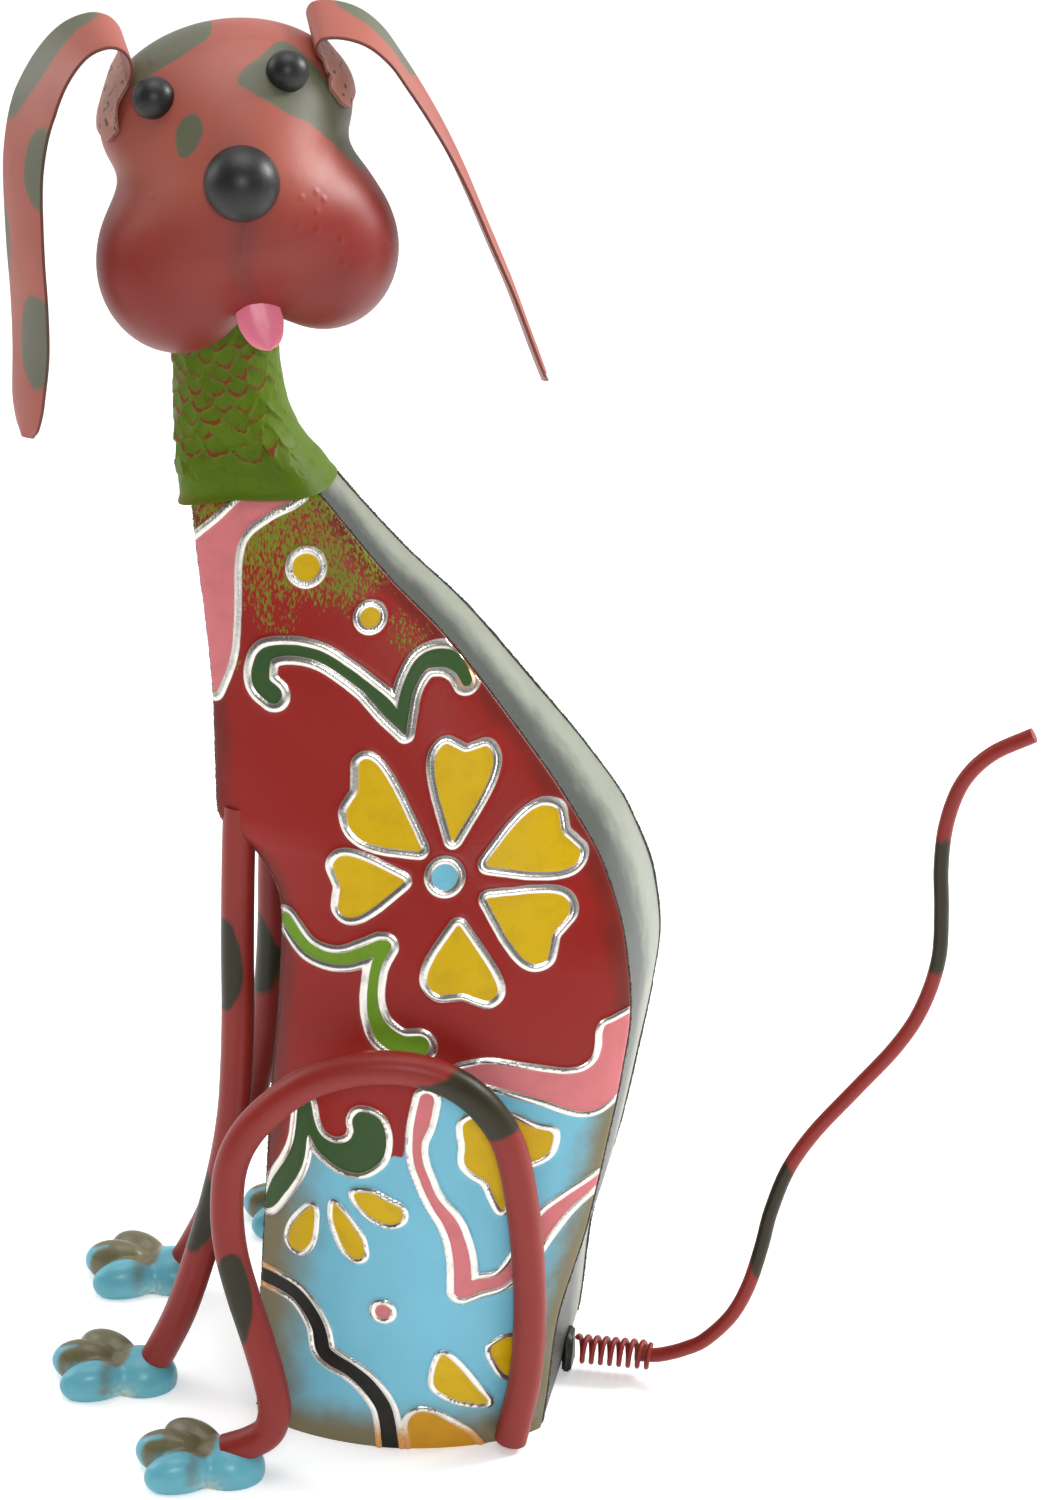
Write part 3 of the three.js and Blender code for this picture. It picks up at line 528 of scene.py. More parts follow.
def strip(name, edge, half, inwards, material):
    rows, columns = 260, 15
    z = np.linspace(0, BODY_TOP, rows)[:, None]
    slope = (through(edge, z + 1) - through(edge, z - 1)) / 2
    thick = SHEET * np.hypot(1, slope) * inwards
    width = through(half, z) - SHEET - 0.1
    across = np.linspace(-1, 1, columns)[None]
    crown = 0.7 * (1 - across ** 2) + 0.12 * np.sin(z / 13 + 2 * across)
    x = through(edge, z) - inwards * crown * np.minimum(1, z / 6)
    outer = np.stack([x, across * width, z + 0 * across], -1)
    inner = outer + np.stack([thick + 0 * across, 0 * across * z, 0 * across * z], -1)
    left = ((1 + across) / 2 - 0.25 * np.clip(1 - z / 130, 0, 1)).ravel()
    return new_piece(name, np.vstack([outer.reshape(-1, 3), inner.reshape(-1, 3)]),
                     sheet_faces(columns, rows, inwards > 0), material, {"from_left": np.r_[left, left]})


dark_strip = strip_finish()
fit(strip("back_sheet", BACK_EDGE, BACK_HALF, -1, dark_strip), "strip_dark", "back_strip")
fit(strip("front_sheet", FRONT_EDGE, FRONT_HALF, 1, dark_strip), "strip_dark", "front_strip")
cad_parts["base_plate"].data.materials.clear()
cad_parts["base_plate"].data.materials.append(dark_strip)


# Weld beads: short overlapping blobs of weld along the seams between panels and strips, sprayed over dark.
# A small tree of nodes sets one bead after another along the seam's path.
def nodes_of(tree, *wanted):
    """Adds nodes of the given types to a tree and returns them in that order."""
    return [tree.nodes.new(kind) for kind in wanted]


def new_tree(name, *sockets):
    """An empty geometry tree with named inputs (name, type, value) between its two ends."""
    tree = bpy.data.node_groups.new(name, "GeometryNodeTree")
    tree.interface.new_socket("Geometry", in_out="INPUT", socket_type="NodeSocketGeometry")
    for label, kind, value in sockets:
        socket = tree.interface.new_socket(label, in_out="INPUT", socket_type=kind)
        if value is not None:
            socket.default_value = value
    tree.interface.new_socket("Geometry", in_out="OUTPUT", socket_type="NodeSocketGeometry")
    start, end = nodes_of(tree, "NodeGroupInput", "NodeGroupOutput")
    return tree, start, end


def link(tree, *pairs):
    """Joins pairs of sockets, an output to an input."""
    for source, target in pairs:
        tree.links.new(source, target)


def close_tree(tree, geometry, start, end):
    """Ends a tree with plain geometry in its material, shaded smooth."""
    smooth, real, coat = nodes_of(tree, "GeometryNodeSetShadeSmooth", "GeometryNodeRealizeInstances",
                                  "GeometryNodeSetMaterial")
    link(tree, (geometry, real.inputs[0]), (real.outputs[0], smooth.inputs[0]),
         (smooth.outputs[0], coat.inputs[0]), (start.outputs["Material"], coat.inputs["Material"]),
         (coat.outputs[0], end.inputs[0]))
    return tree


def along_path(name, path, tree, values, layers=None):
    """Runs a tree on an open path in millimetres and keeps its result as a plain mesh."""
    path = np.asarray(path, float) * MM
    mesh = bpy.data.meshes.new(name)
    mesh.from_pydata(path.tolist(), [(i, i + 1) for i in range(len(path) - 1)], [])
    for key, numbers in (layers or {}).items():
        mesh.attributes.new(key, "FLOAT", "POINT").data.foreach_set("value", np.asarray(numbers, np.float32))
    piece = add_object(name, mesh)
    modifier = piece.modifiers.new("shape", "NODES")
    modifier.node_group = tree
    for item in tree.interface.items_tree:
        if item.in_out == "INPUT" and item.name in values:
            modifier[item.identifier] = values[item.name]
    depsgraph = bpy.context.evaluated_depsgraph_get()
    depsgraph.update()
    made = bpy.data.meshes.new_from_object(piece.evaluated_get(depsgraph), preserve_all_data_layers=True,
                                           depsgraph=depsgraph)
    piece.modifiers.clear()
    piece.data = made
    made.name = name
    return piece


def bead_tree():
    tree, start, end = new_tree("weld_beads", ("Spacing", "NodeSocketFloat", 0.002),
                                ("Size", "NodeSocketFloat", 0.001), ("Seed", "NodeSocketInt", 1),
                                ("Material", "NodeSocketMaterial", None))
    line, cut, bead, put, grow, turn = nodes_of(
        tree, "GeometryNodeMeshToCurve", "GeometryNodeCurveToPoints", "GeometryNodeMeshIcoSphere",
        "GeometryNodeInstanceOnPoints", "FunctionNodeRandomValue", "FunctionNodeRandomValue")
    cut.mode = "LENGTH"
    bead.inputs["Subdivisions"].default_value = 2
    grow.data_type = "FLOAT_VECTOR"
    grow.inputs[0].default_value = (0.8, 0.8, 0.8)
    grow.inputs[1].default_value = (1.3, 1.2, 1.2)
    turn.data_type = "FLOAT_VECTOR"
    turn.inputs[1].default_value = (6.3, 6.3, 6.3)
    link(tree, (start.outputs["Geometry"], line.inputs["Mesh"]), (line.outputs[0], cut.inputs["Curve"]),
         (start.outputs["Spacing"], cut.inputs["Length"]), (start.outputs["Size"], bead.inputs["Radius"]),
         (start.outputs["Seed"], grow.inputs["Seed"]), (start.outputs["Seed"], turn.inputs["Seed"]),
         (cut.outputs["Points"], put.inputs["Points"]), (bead.outputs["Mesh"], put.inputs["Instance"]),
         (grow.outputs[0], put.inputs["Scale"]), (turn.outputs[0], put.inputs["Rotation"]))
    return close_tree(tree, put.outputs[0], start, end)


def weld_finish(name, dark, light):
    material, paint = new_finish(name, Metallic=0.3)
    place = paint.place()
    base = place.noise(260, 4).step(0.35, 0.7).tint(dark, light)
    rough = place.noise(500, 3)
    apply_finish(material, Base_Color=base, Roughness=0.4 + rough * 0.2, Normal=rough.bump(0.3, 0.0006))
    return material


weld_beads = bead_tree()
dark_weld = weld_finish("sprayed_weld", colour(44, 48, 42), colour(72, 62, 52))
seam_heights = np.linspace(2, 352, 160)
seams = [("back", BACK_EDGE, BACK_HALF), ("front", FRONT_EDGE, FRONT_HALF)]
for number, (place, edge, half) in enumerate(seams):
    seam_x, seam_y = through(edge, seam_heights), through(half, seam_heights) - 1.1
    for side, hand in HANDS:
        path = np.stack([seam_x, side * seam_y, seam_heights], 1)
        bead = along_path(f"{place}_weld_{hand}", path, weld_beads,
                          {"Spacing": 0.0011, "Size": 0.0007, "Seed": 3 + 2 * number + side,
                           "Material": dark_weld})
        fit(bead, "strip_dark")


# Neck sleeve: a sheet tube slipped over the body's top, hammered all over with rows of scale marks.
# It is painted leaf green over the red, which shows again where the marks are rubbed; the hollow of each mark
# is painted darker as painted shade.
NECK_TOP = 466
NECK_FRONT = [(343, -82), (372, -83.5), (398, -84), (NECK_TOP, -83)]
NECK_BACK = [(343, -24), (352, -28.2), (358, -31.8), (364, -36.9), (371, -41.2), (382, -45), (400, -47),
             (NECK_TOP, -48)]
NECK_DEPTH = [(343, 22.5), (357, 21), (371, 19.3), (400, 18), (NECK_TOP, 18)]


def neck_finish():
    material, paint = new_finish("rubbed_green_sleeve", Specular_IOR_Level=0.14)
    place = paint.place()
    height = place.part(2) * 1000
    cloudy = place.noise(40, 3)
    fine = place.noise(330, 4, 0.65)
    base = cloudy.tint(colour(68, 92, 5), colour(90, 115, 11))
    base = (fine.step(0.5, 0.75) * 0.4).tint(base, colour(58, 78, 8))
    # Painted shade: each hammer mark is darker in its hollow middle.
    painted_hollow_shade = paint.layer("painted_hollow_shade")
    base = (painted_hollow_shade * 0.3).tint(base, colour(52, 70, 8))
    rubbed = (paint.layer("rubbed") * (fine + place.noise(110, 3) * 0.9)).step(0.6, 0.9)
    specks = fine.step(0.6, 0.7) * 0.7 * place.noise(30, 2).step(0.45, 0.6)
    hem = (1 - (height + (fine - 0.5) * 12).step(347, 353)) * 0.36
    base = rubbed.most(specks).most(hem).tint(base, colour(112, 54, 26))
    apply_finish(material, Base_Color=base, Roughness=0.42 + fine * 0.2,
                 Normal=(fine + cloudy).bump(0.35, 0.0008))
    return material


def neck_sleeve(material):
    columns, rows = 240, 190
    theta = np.linspace(0, 2 * math.pi, columns, endpoint=False)[None]
    up = np.linspace(0, 1, rows)[:, None] ** 1.15
    hem = 352 + np.where(np.cos(theta) < 0, 7, 1) * np.cos(theta)
    z = hem + (NECK_TOP - hem) * up
    u = theta * 7.5 / math.pi + 0.12 * np.sin(z / 7)
    v = (z - 340) / 5.6 + 0.22 * np.sin(3 * theta) + 0.1 * np.sin(7 * theta + z / 9)
    u, v = (u + 0.18 * np.sin(1.9 * v + 0.7 * np.sin(3.1 * u)),
            v + 0.2 * np.sin(2.7 * u + 0.9 * np.sin(1.3 * v)))
    height = np.zeros(z.shape)
    rubbed = np.zeros(z.shape)
    painted_hollow_shade = np.zeros(z.shape)
    done = np.zeros(z.shape, bool)
    for rise in (2, 1, 0):
        row = np.floor(v) + rise
        shift = 0.5 * np.mod(row, 2)
        across = u - shift - np.round(u - shift)
        below = row - v
        struck = 0.5 + 0.5 * np.sin(12.9 * np.round(u - shift) + 78.2 * row)
        reach = np.hypot(across / 0.56, below / 1.35)
        here = ~done & (below > -0.2) & (reach < 1)
        height = np.where(here, (0.5 + 0.6 * struck) * reach ** 2, height)
        lip = np.clip((reach - 0.62) / 0.24, 0, 1) * np.clip((0.5 - np.abs(across)) / 0.12, 0, 1)
        rubbed = np.where(here, lip * np.clip(0.65 + struck, 0, 1), rubbed)
        # Painted shade in the hollow middle of each mark.
        painted_hollow_shade = np.where(here, np.clip(0.6 - reach, 0, 1), painted_hollow_shade)
        done |= here
    facing = np.clip(0.5 + 0.9 * np.cos(theta - math.pi * 1.42), 0.12, 1)
    fade = np.clip((z - hem - 5) / 9, 0, 1) * facing
    low = through([(400, 1), (425, 0.7), (445, 0.5)], z)
    height = height * fade + 0.25 * np.sin(z / 6 + 3 * np.sin(theta)) * np.sin(5 * theta) * 0.5
    rolled = 0.7 * np.exp(-((z - hem) / 1.6) ** 2)
    def around(z, out):
        """Points round the sleeve, squarish towards its hem, moved outwards by out."""
        front, back = through(NECK_FRONT, z), through(NECK_BACK, z)
        square = through([(360, 0.68), (372, 0.85), (388, 1)], z)
        x = ((back - front) / 2 + out) * np.sign(np.cos(theta)) * np.abs(np.cos(theta)) ** square
        y = (through(NECK_DEPTH, z) + out) * np.sign(np.sin(theta)) * np.abs(np.sin(theta)) ** square
        return np.stack([(front + back) / 2 + x, y, z], -1).reshape(-1, 3)

    levels = 24
    z_in = hem + (NECK_TOP - hem) * np.linspace(0, 1, levels)[:, None]
    points = np.vstack([around(z, height + rolled), around(z_in, -SHEET)])
    foot = rows * columns
    high, top = foot + (levels - 1) * columns, foot - columns
    faces = ring_faces(columns, rows) + ring_faces(columns, levels, foot, True)
    for c in range(columns):
        d = (c + 1) % columns
        faces.append([c, foot + c, foot + d, d])
        faces.append([top + d, high + d, high + c, top + c])
    spare = np.zeros(levels * columns)
    layers = {"rubbed": np.r_[(rubbed * fade * low).ravel(), spare],
              "painted_hollow_shade": np.r_[(painted_hollow_shade * fade).ravel(), spare]}
    return new_piece("hammered_neck", points, faces, material, layers, 60)


fit(neck_sleeve(neck_finish()), "neck_green", "neck_sleeve")


# Head: two stamped half shells welded together and ground smooth, with full jowls beside the mouth.
# It is sprayed satin red with stencilled grey-green patches, and carries small runs of paint by the muzzle.
# Its red is lightened to salmon as painted sheen, and darkened as painted shade low on the muzzle and jowls,
# round the mouth and along the crease under the nose.
HEAD_CENTRE = np.array([-53, -18, 460.5])
HEAD_TURN = np.array((Matrix.Rotation(math.radians(16), 3, "Z") @ Matrix.Rotation(math.radians(-5), 3, "X")
                      @ Matrix.Rotation(math.radians(-10), 3, "Y")))
LOBES = [((-0.5, 8, 27), (43, 38, 31)), ((-1, -8, 4), (33, 37, 36)), ((-28, -4, -18.5), (26.5, 30, 29)),
         ((21.5, -4, -20.5), (26.5, 30, 29))]
MUZZLE = ((-3, -6, -5), (40, 34.5, 17))
EYE_PATCH = [(5, 43), (8, 46), (14, 48), (22, 50), (30, 43), (35, 33.5), (40, 24), (44, 17), (54, 8),
             (56, -4), (42, 2), (36, 9), (31, 17), (26, 24), (20, 29), (15, 34), (9, 39)]
LEAF_PATCH = [(-18, 31), (-15, 35), (-11.5, 36.5), (-9.5, 35), (-9.5, 31), (-13, 26), (-17, 23.5),
              (-19, 25.5)]
CROWN_PATCH = [(-31, -7), (-26, -11), (-20, -12), (-13, -12), (-6, -10), (-1, -6), (1, 5), (-2, 16),
               (-15, 22), (-30, 18), (-37, 8)]
PAINT_RUNS = [(18, 4), (23, 4), (25, 1), (22, -2), (15, -5), (21, -8), (43, -21), (27, -22), (28, -14),
              (-30, 12)]


def lobe_distance(points, lobes, width, turns=None):
    """Distance, below zero inside, to egg shapes that flow together over a width."""
    total = None
    for number, (at, radii) in enumerate(lobes):
        away = points - np.array(at, float)
        if turns:
            c, s = math.cos(math.radians(turns[number])), math.sin(math.radians(turns[number]))
            ax, ay, az = np.moveaxis(away, -1, 0)
            away = np.stack([ax * c + ay * s, ay * c - ax * s, az], -1)
        q = away / np.array(radii, float)
        near = np.linalg.norm(q, axis=-1)
        gap = near * (near - 1) / np.maximum(np.linalg.norm(q / np.array(radii, float), axis=-1), 1e-9)
        if total is None:
            total = gap
            continue
        h = np.maximum(width - np.abs(total - gap), 0) / width
        total = np.minimum(total, gap) - h * h * width / 4
    return total


def reach(distance, start, directions):
    """Points where rays from a start leave a form."""
    low, high = np.zeros(len(directions)), np.full(len(directions), 120.0)
    for _ in range(44):
        half = (low + high) / 2
        inside = distance(start + directions * half[:, None]) < 0
        low, high = np.where(inside, half, low), np.where(inside, high, half)
    return start + directions * low[:, None]


def ball_directions(level):
    """Directions and triangles of an evenly split ball."""
    ball = bmesh.new()
    bmesh.ops.create_icosphere(ball, subdivisions=level, radius=1)
    ball.verts.ensure_lookup_table()
    points = np.array([v.co[:] for v in ball.verts])
    faces = [[v.index for v in f.verts] for f in ball.faces]
    ball.free()
    return points, faces


def on_head(points):
    """Places the head's own points, x to its left, -y forwards, on the figure."""
    return np.asarray(points, float) @ HEAD_TURN.T + HEAD_CENTRE


def head_finish(name):
    material, paint = new_finish(name, Specular_IOR_Level=0.4)
    place = paint.place()
    broad = place.noise(16, 2)
    cloudy = place.noise(90, 4)
    fine = place.noise(520, 3)
    # The salmon ground is red paint lightened by painted sheen of the overhead light.
    base = broad.tint(colour(146, 70, 57), colour(162, 86, 72))
    base = (cloudy.step(0.45, 0.8) * 0.18).tint(base, colour(120, 58, 44))
    # Painted shade: the lower front turns deep red.
    base = paint.layer("painted_shade_deep_red").tint(base, colour(124, 24, 13))
    # Painted light: the ear tabs are painted paler.
    tab = paint.layer("tab")
    base = (tab * 0.6).tint(base, colour(196, 146, 128))
    patch = 1 - (paint.layer("patch") + (cloudy - 0.5) * 1.6).step(-0.5, 0.5)
    base = (patch * 0.94).tint(base, broad.tint(colour(70, 80, 60), colour(92, 100, 80)))
    # Painted shade on the head's crease, mouth and lower jowls; on the ears the same layer darkens the cut
    # edges.
    painted_shade_and_dark_edges = paint.layer("painted_shade_and_dark_edges")
    base = (painted_shade_and_dark_edges * 0.45).tint(base, colour(72, 26, 14))
    specks = place.noise(330, 3).step(0.6, 0.64)
    base = (specks * tab).tint(base, colour(40, 34, 30))
    apply_finish(material, Base_Color=base, Roughness=0.42 + cloudy * 0.1,
                 Normal=(fine * 0.3 + cloudy).bump(0.12, 0.0008))
    return material


def head_form(points):
    """Distance to the head's skin: its lobes, joined by a smooth muzzle across the front."""
    return lobe_distance(points, LOBES + [MUZZLE], 13)


def head_skin(material):
    directions, faces = ball_directions(7)
    points = reach(head_form, np.array([0, 0, 4.0]), directions)
    step = np.eye(3) * 0.05
    normal = np.stack([head_form(points + step[k]) - head_form(points - step[k]) for k in range(3)], -1)
    normal /= np.linalg.norm(normal, axis=1)[:, None]
    x, y, z = points.T
    seam = [(-2, 0, 0), (-5, -8, 0), (-6.5, -14, 0), (-6.5, -21, 0), (-4, -28, 0)]
    seam = np.abs(ribbon_distance(seam, x, z))
    lift = np.where(y < -10, 0.2 * np.exp(-(seam / 0.6) ** 2) - 0.15 * np.exp(-((seam - 1.4) / 1.1) ** 2), 0)
    for px, pz in PAINT_RUNS:
        lift += np.where(y < 0, 0.45 * np.exp(-((x - px) ** 2 + ((z - pz) / 1.35) ** 2) / 0.3), 0)
    lift += 0.3 * np.exp(-((z - 53 - 1.5 * np.cos(x / 9)) / 1.2) ** 2) * (np.abs(x) < 22) * (y < 5)
    points = points + normal * lift[:, None]
    front = np.minimum(outline_distance(EYE_PATCH, x, z), outline_distance(LEAF_PATCH, x, z))
    patch = np.where(y < 12, front, 9.0)
    crown = np.where(z > 30, outline_distance(CROWN_PATCH, x, y), 9.0)
    behind = np.minimum(dot_distance((-14, 8), 13, x * 0.8, z), dot_distance((22, 34), 11, x, z * 0.8))
    patch = np.minimum(np.minimum(patch, crown), np.where(y > 14, behind, 9))
    # Painted shade: darker along the crease under the nose, round the mouth and on the lower jowls that face
    # down.
    painted_shade_and_dark_edges = np.exp(-(seam / 5) ** 2) * (y < -12) * (z < 2)
    mouth = np.maximum(dot_distance((-3, -24), 1, x * 0.6, z), 0)
    painted_shade_and_dark_edges = np.maximum(painted_shade_and_dark_edges, 0.8 * np.exp(-mouth / 5) * (y < -8))
    painted_shade_and_dark_edges = np.maximum(painted_shade_and_dark_edges, 0.9 * np.clip((-16 - z) / 26, 0, 1))
    # Painted shade: the lower front is painted deep red.
    painted_shade_deep_red = np.clip((16 - z) / 24, 0, 1) * np.clip((14 - y) / 20, 0, 1)
    layers = {"patch": patch, "painted_shade_and_dark_edges": painted_shade_and_dark_edges, "painted_shade_deep_red": painted_shade_deep_red, "tab": np.zeros(len(x))}
    return new_piece("sprayed_head", on_head(points), faces, material, layers, 60)


satin_red = head_finish("sprayed_satin_red")
fit(head_skin(satin_red), "head_salmon", "head")


# Nose and eyes: steel balls tacked to the face from behind and painted satin black.
# The nose is twice as wide as the eyes and stands farther out.
def black_finish():
    material, paint = new_finish("satin_black", Specular_IOR_Level=0.4)
    place = paint.place()
    fine = place.noise(600, 3)
    base = place.noise(60, 3).tint(colour(16, 16, 16), colour(26, 26, 25))
    apply_finish(material, Base_Color=base, Roughness=0.38 + fine * 0.12, Normal=fine.bump(0.12, 0.0005))
    return material


def face_ball(name, radius, x, z, proud, material):
    directions, faces = ball_directions(6)
    surface = reach(head_form, np.array([[x, 0, z]], float), np.array([[0, -1.0, 0]]))[0]
    return new_piece(name, on_head(directions * radius + surface + (0, -proud, 0)), faces, material)


satin_black = black_finish()
fit(face_ball("nose_ball", 12.5, -0.4, 14, 3, satin_black), "black", "nose")
fit(face_ball("eye_ball_right", 7.1, -23, 42.5, 2.5, satin_black), "black", "eye_right")
fit(face_ball("eye_ball_left", 7.1, 22, 42.3, 2.5, satin_black), "black", "eye_left")


# Tongue: a small tongue of bent sheet, tacked inside the mouth and painted gloss pink.
# It is creased lightly down its middle and hangs a little to one side.
def tongue_sheet():
    material, paint = new_finish("gloss_pink", Specular_IOR_Level=0.4)
    place = paint.place()
    base = place.noise(120, 3).tint(colour(206, 98, 124), colour(226, 126, 148))
    apply_finish(material, Base_Color=base, Roughness=0.3 + place.noise(200, 2) * 0.1,
                 Normal=place.noise(300, 3).bump(0.15, 0.0005))
    rows, columns = 40, 24
    down = np.linspace(0, 1, rows)[:, None]
    across = np.linspace(-1, 1, columns)[None]
    half = through([(0, 1.5), (0.18, 5.2), (0.36, 7.5), (0.55, 7.6), (0.75, 6.6), (0.9, 4.8), (0.97, 2.8),
                    (1, 1)], down)
    x = -4 + across * half + 1.2 * down ** 2
    z = -26 - 21.5 * down + 0 * across
    swell = 1.5 * (1 - across ** 2) - 0.3 * np.exp(-(across / 0.2) ** 2) * (1 - down)
    lean = -18 - 7 * np.sqrt(down)
    front = np.stack([x, lean - swell - 1.4, z], -1).reshape(-1, 3)
    back = np.stack([x, lean + 0 * across, z], -1).reshape(-1, 3)
    return new_piece("pink_tongue", on_head(np.vstack([front, back])), sheet_faces(columns, rows, True),
                     material, None, 80)


fit(tongue_sheet(), "tongue_pink", "tongue")


# Ears: long strips of sheet with round ends, welded to the head's sides by a tab, bent over and hanging down.
# They are sprayed with the head; the cut edges are dark, and the tabs are painted paler as painted light
# and spotted with weld spatter.
EAR_WIDTH = 28
EAR_SHAPE = [(0, 0.42), (0.03, 0.8), (0.08, 0.96), (0.2, 1), (0.8, 1), (0.93, 0.86), (0.98, 0.6),
             (1, 0.3)]
EAR_RIGHT = [(-44, 30), (-42, 36), (-38.5, 42), (-33, 48), (-29.5, 53), (-29, 58), (-31.5, 62.5),
             (-37, 64.5), (-45.5, 62.4), (-55, 54.7), (-63.6, 43), (-69.3, 30.5), (-73, 17.4),
             (-76.7, -2.7), (-79.2, -19.8), (-82.4, -36.8), (-87, -53.6), (-90, -66)]
EAR_LEFT = [(43, 25), (42.4, 31), (40, 38), (35.5, 44.5), (33, 49.5), (35.5, 53), (42.5, 52),
            (50.2, 47.7), (56.3, 40.3), (60.6, 30.6), (65, 19.3), (69.7, 5.1), (73.7, -10.4),
            (77.8, -29.8), (82, -49.5), (85.5, -70.3), (87.8, -83)]


def run_length(line):
    """Length along a line from its start to each of its points."""
    return np.r_[0, np.cumsum(np.linalg.norm(np.diff(line, axis=0), axis=1))]


def evenly(line, t):
    """Places at shares t of a line's length."""
    length = run_length(line)
    return np.stack([np.interp(t * length[-1], length, line[:, k]) for k in range(line.shape[1])], -1)


def ear(name, points, twist, patches, material):
    rows, rim = 240, 12
    t = np.linspace(0, 1, rows)
    line = smooth_line([(x, -2, z) for x, z in points], False, 24)
    spine = evenly(line, t)
    along = np.gradient(spine, axis=0)
    along /= np.linalg.norm(along, axis=1)[:, None]
    ease = lambda low, high: through([(low, 0), ((low + high) / 2, 0.5), (high, 1)], t)
    turn = np.radians(twist * ease(0.12, 0.4))
    dip = np.radians(17 * (1 - 0.7 * ease(0.3, 0.8)))
    across = np.stack([np.sin(turn), -np.cos(turn) * np.cos(dip), -np.sin(dip)], -1)
    across /= np.linalg.norm(across, axis=1)[:, None]
    proud = np.cross(along, across)
    proud /= np.linalg.norm(proud, axis=1)[:, None]
    half = EAR_WIDTH / 2 * through(EAR_SHAPE, t)
    thick = SHEET / 2
    flat = np.linspace(-1, 1, 19)
    bends = np.linspace(-math.pi / 2, math.pi / 2, rim)[1:-1]
    loop = [(a, thick, 0) for a in flat[::-1]]
    loop += [(-1, thick * math.sin(-r), -thick * math.cos(r)) for r in bends]
    loop += [(a, -thick, 0) for a in flat]
    loop += [(1, thick * math.sin(r), thick * math.cos(r)) for r in bends]
    columns = len(loop)
    rings = []
    curl = 1.4 * ease(0.3, 0.6)
    for a, lift, over in loop:
        sideways = a * (half - thick) + over
        rings.append(spine + across * sideways[:, None] + proud * (lift - curl * a * a + 0.5 * curl)[:, None])
    mesh = np.stack(rings, 1)
    outwards = math.copysign(1, points[0][0])
    rays = np.tile((outwards, 0, 0), (rows * columns, 1))
    start = mesh.reshape(-1, 3) * (0, 1, 1)
    skin = reach(head_form, start, rays).reshape(rows, columns, 3)
    lift = np.array([lift for _, lift, _ in loop])
    flush = skin[..., 0] + outwards * (0.9 + outwards * lift)
    hold = (1 - through([(36, 0), (41, 0.5), (46, 1)], spine[:, 2])) * (t < 0.2)
    hold = hold[:, None]
    mesh[..., 0] = hold * flush + (1 - hold) * mesh[..., 0]
    share = np.array([a for a, _, _ in loop])
    edge = np.array([0 if abs(lift) > 0.59 else 1 for _, lift, _ in loop], float)
    patch = np.full((rows, columns), 9.0)
    for where, side, long, wide in patches:
        away = np.hypot((t[:, None] - where) / long, (share[None] - side) / wide)
        patch = np.minimum(patch, (away - 1) * 6)
    faces = ring_faces(columns, rows, 0, True)
    faces.append(list(range(columns)))
    faces.append(list(range((rows - 1) * columns, rows * columns))[::-1])
    # The ears' cut edges are darkened through the head's painted-shade layer; the tab layer paints the tabs
    # paler as painted light.
    layers = {"patch": patch.ravel(), "painted_shade_and_dark_edges": np.tile(edge * 1.6, rows), "painted_shade_deep_red": np.zeros(rows * columns),
              "tab": np.repeat((t < 0.13) * 1.0, columns)}
    return new_piece(name, on_head(mesh.reshape(-1, 3)), faces, material, layers, 50)


right_patches = [(0.33, -1, 0.12, 0.9), (0.5, 1, 0.075, 0.75), (0.66, -1, 0.06, 0.35),
                 (0.82, 0.7, 0.085, 0.95)]
left_patches = [(0.31, -0.9, 0.1, 0.8)]
fit(ear("ear_strip_right", EAR_RIGHT, 25, right_patches, satin_red), "head_salmon", "ear_right")
fit(ear("ear_strip_left", EAR_LEFT, -2, left_patches, satin_red), "head_salmon", "ear_left")


# Legs: thin-walled tube bent to shape, the front ones welded under the chest, the hind ones arched from
# the foot of the body. They are sprayed red with dark green patches; the hind ends are pinched where they
# meet the paws. The right feet stand a little farther forwards.
FAR_FRONT = 7
FAR_HIND = 3
FRONT_THICK = [(0, 0.5), (0.02, 0.78), (0.06, 1), (0.1, 1.04), (0.16, 1), (0.94, 1), (1, 0.94)]
HIND_THICK = [(0, 1), (0.88, 1), (0.92, 0.86), (0.95, 0.74), (1, 0.76)]
FRONT_LEG = [(-57.5, 31, 240), (-58.5, 32, 215), (-59.3, 33, 185), (-59.6, 33.7, 160), (-60.6, 34, 138),
             (-62.2, 34.4, 118), (-65.6, 34.9, 97.5), (-70.8, 35.4, 76), (-77.2, 36, 53.6),
             (-84, 36.4, 33), (-91, 36.8, 17.5), (-97, 37, 6)]
HIND_LEG = [(44.5, 57.2, 3.6), (50, 58, 30.8), (52, 60, 56.2), (51.9, 62, 80.8), (50.2, 64, 105),
            (46.5, 66, 128.7), (39.9, 68, 143.6), (29.2, 70, 154.9), (14.6, 72, 161.3), (-3, 74, 161.9),
            (-20.9, 75.6, 156.6), (-34.9, 77.2, 147.2), (-46.1, 78.8, 134.6), (-52.1, 80.4, 121.2),
            (-53.7, 82, 104.8), (-52.3, 83.6, 88.6), (-48.2, 85.2, 72.6), (-43.1, 86.8, 56.6),
            (-38.4, 88.6, 40.5), (-36.2, 90, 29), (-38.2, 91, 19.5), (-45, 91.6, 14), (-54, 92, 10)]


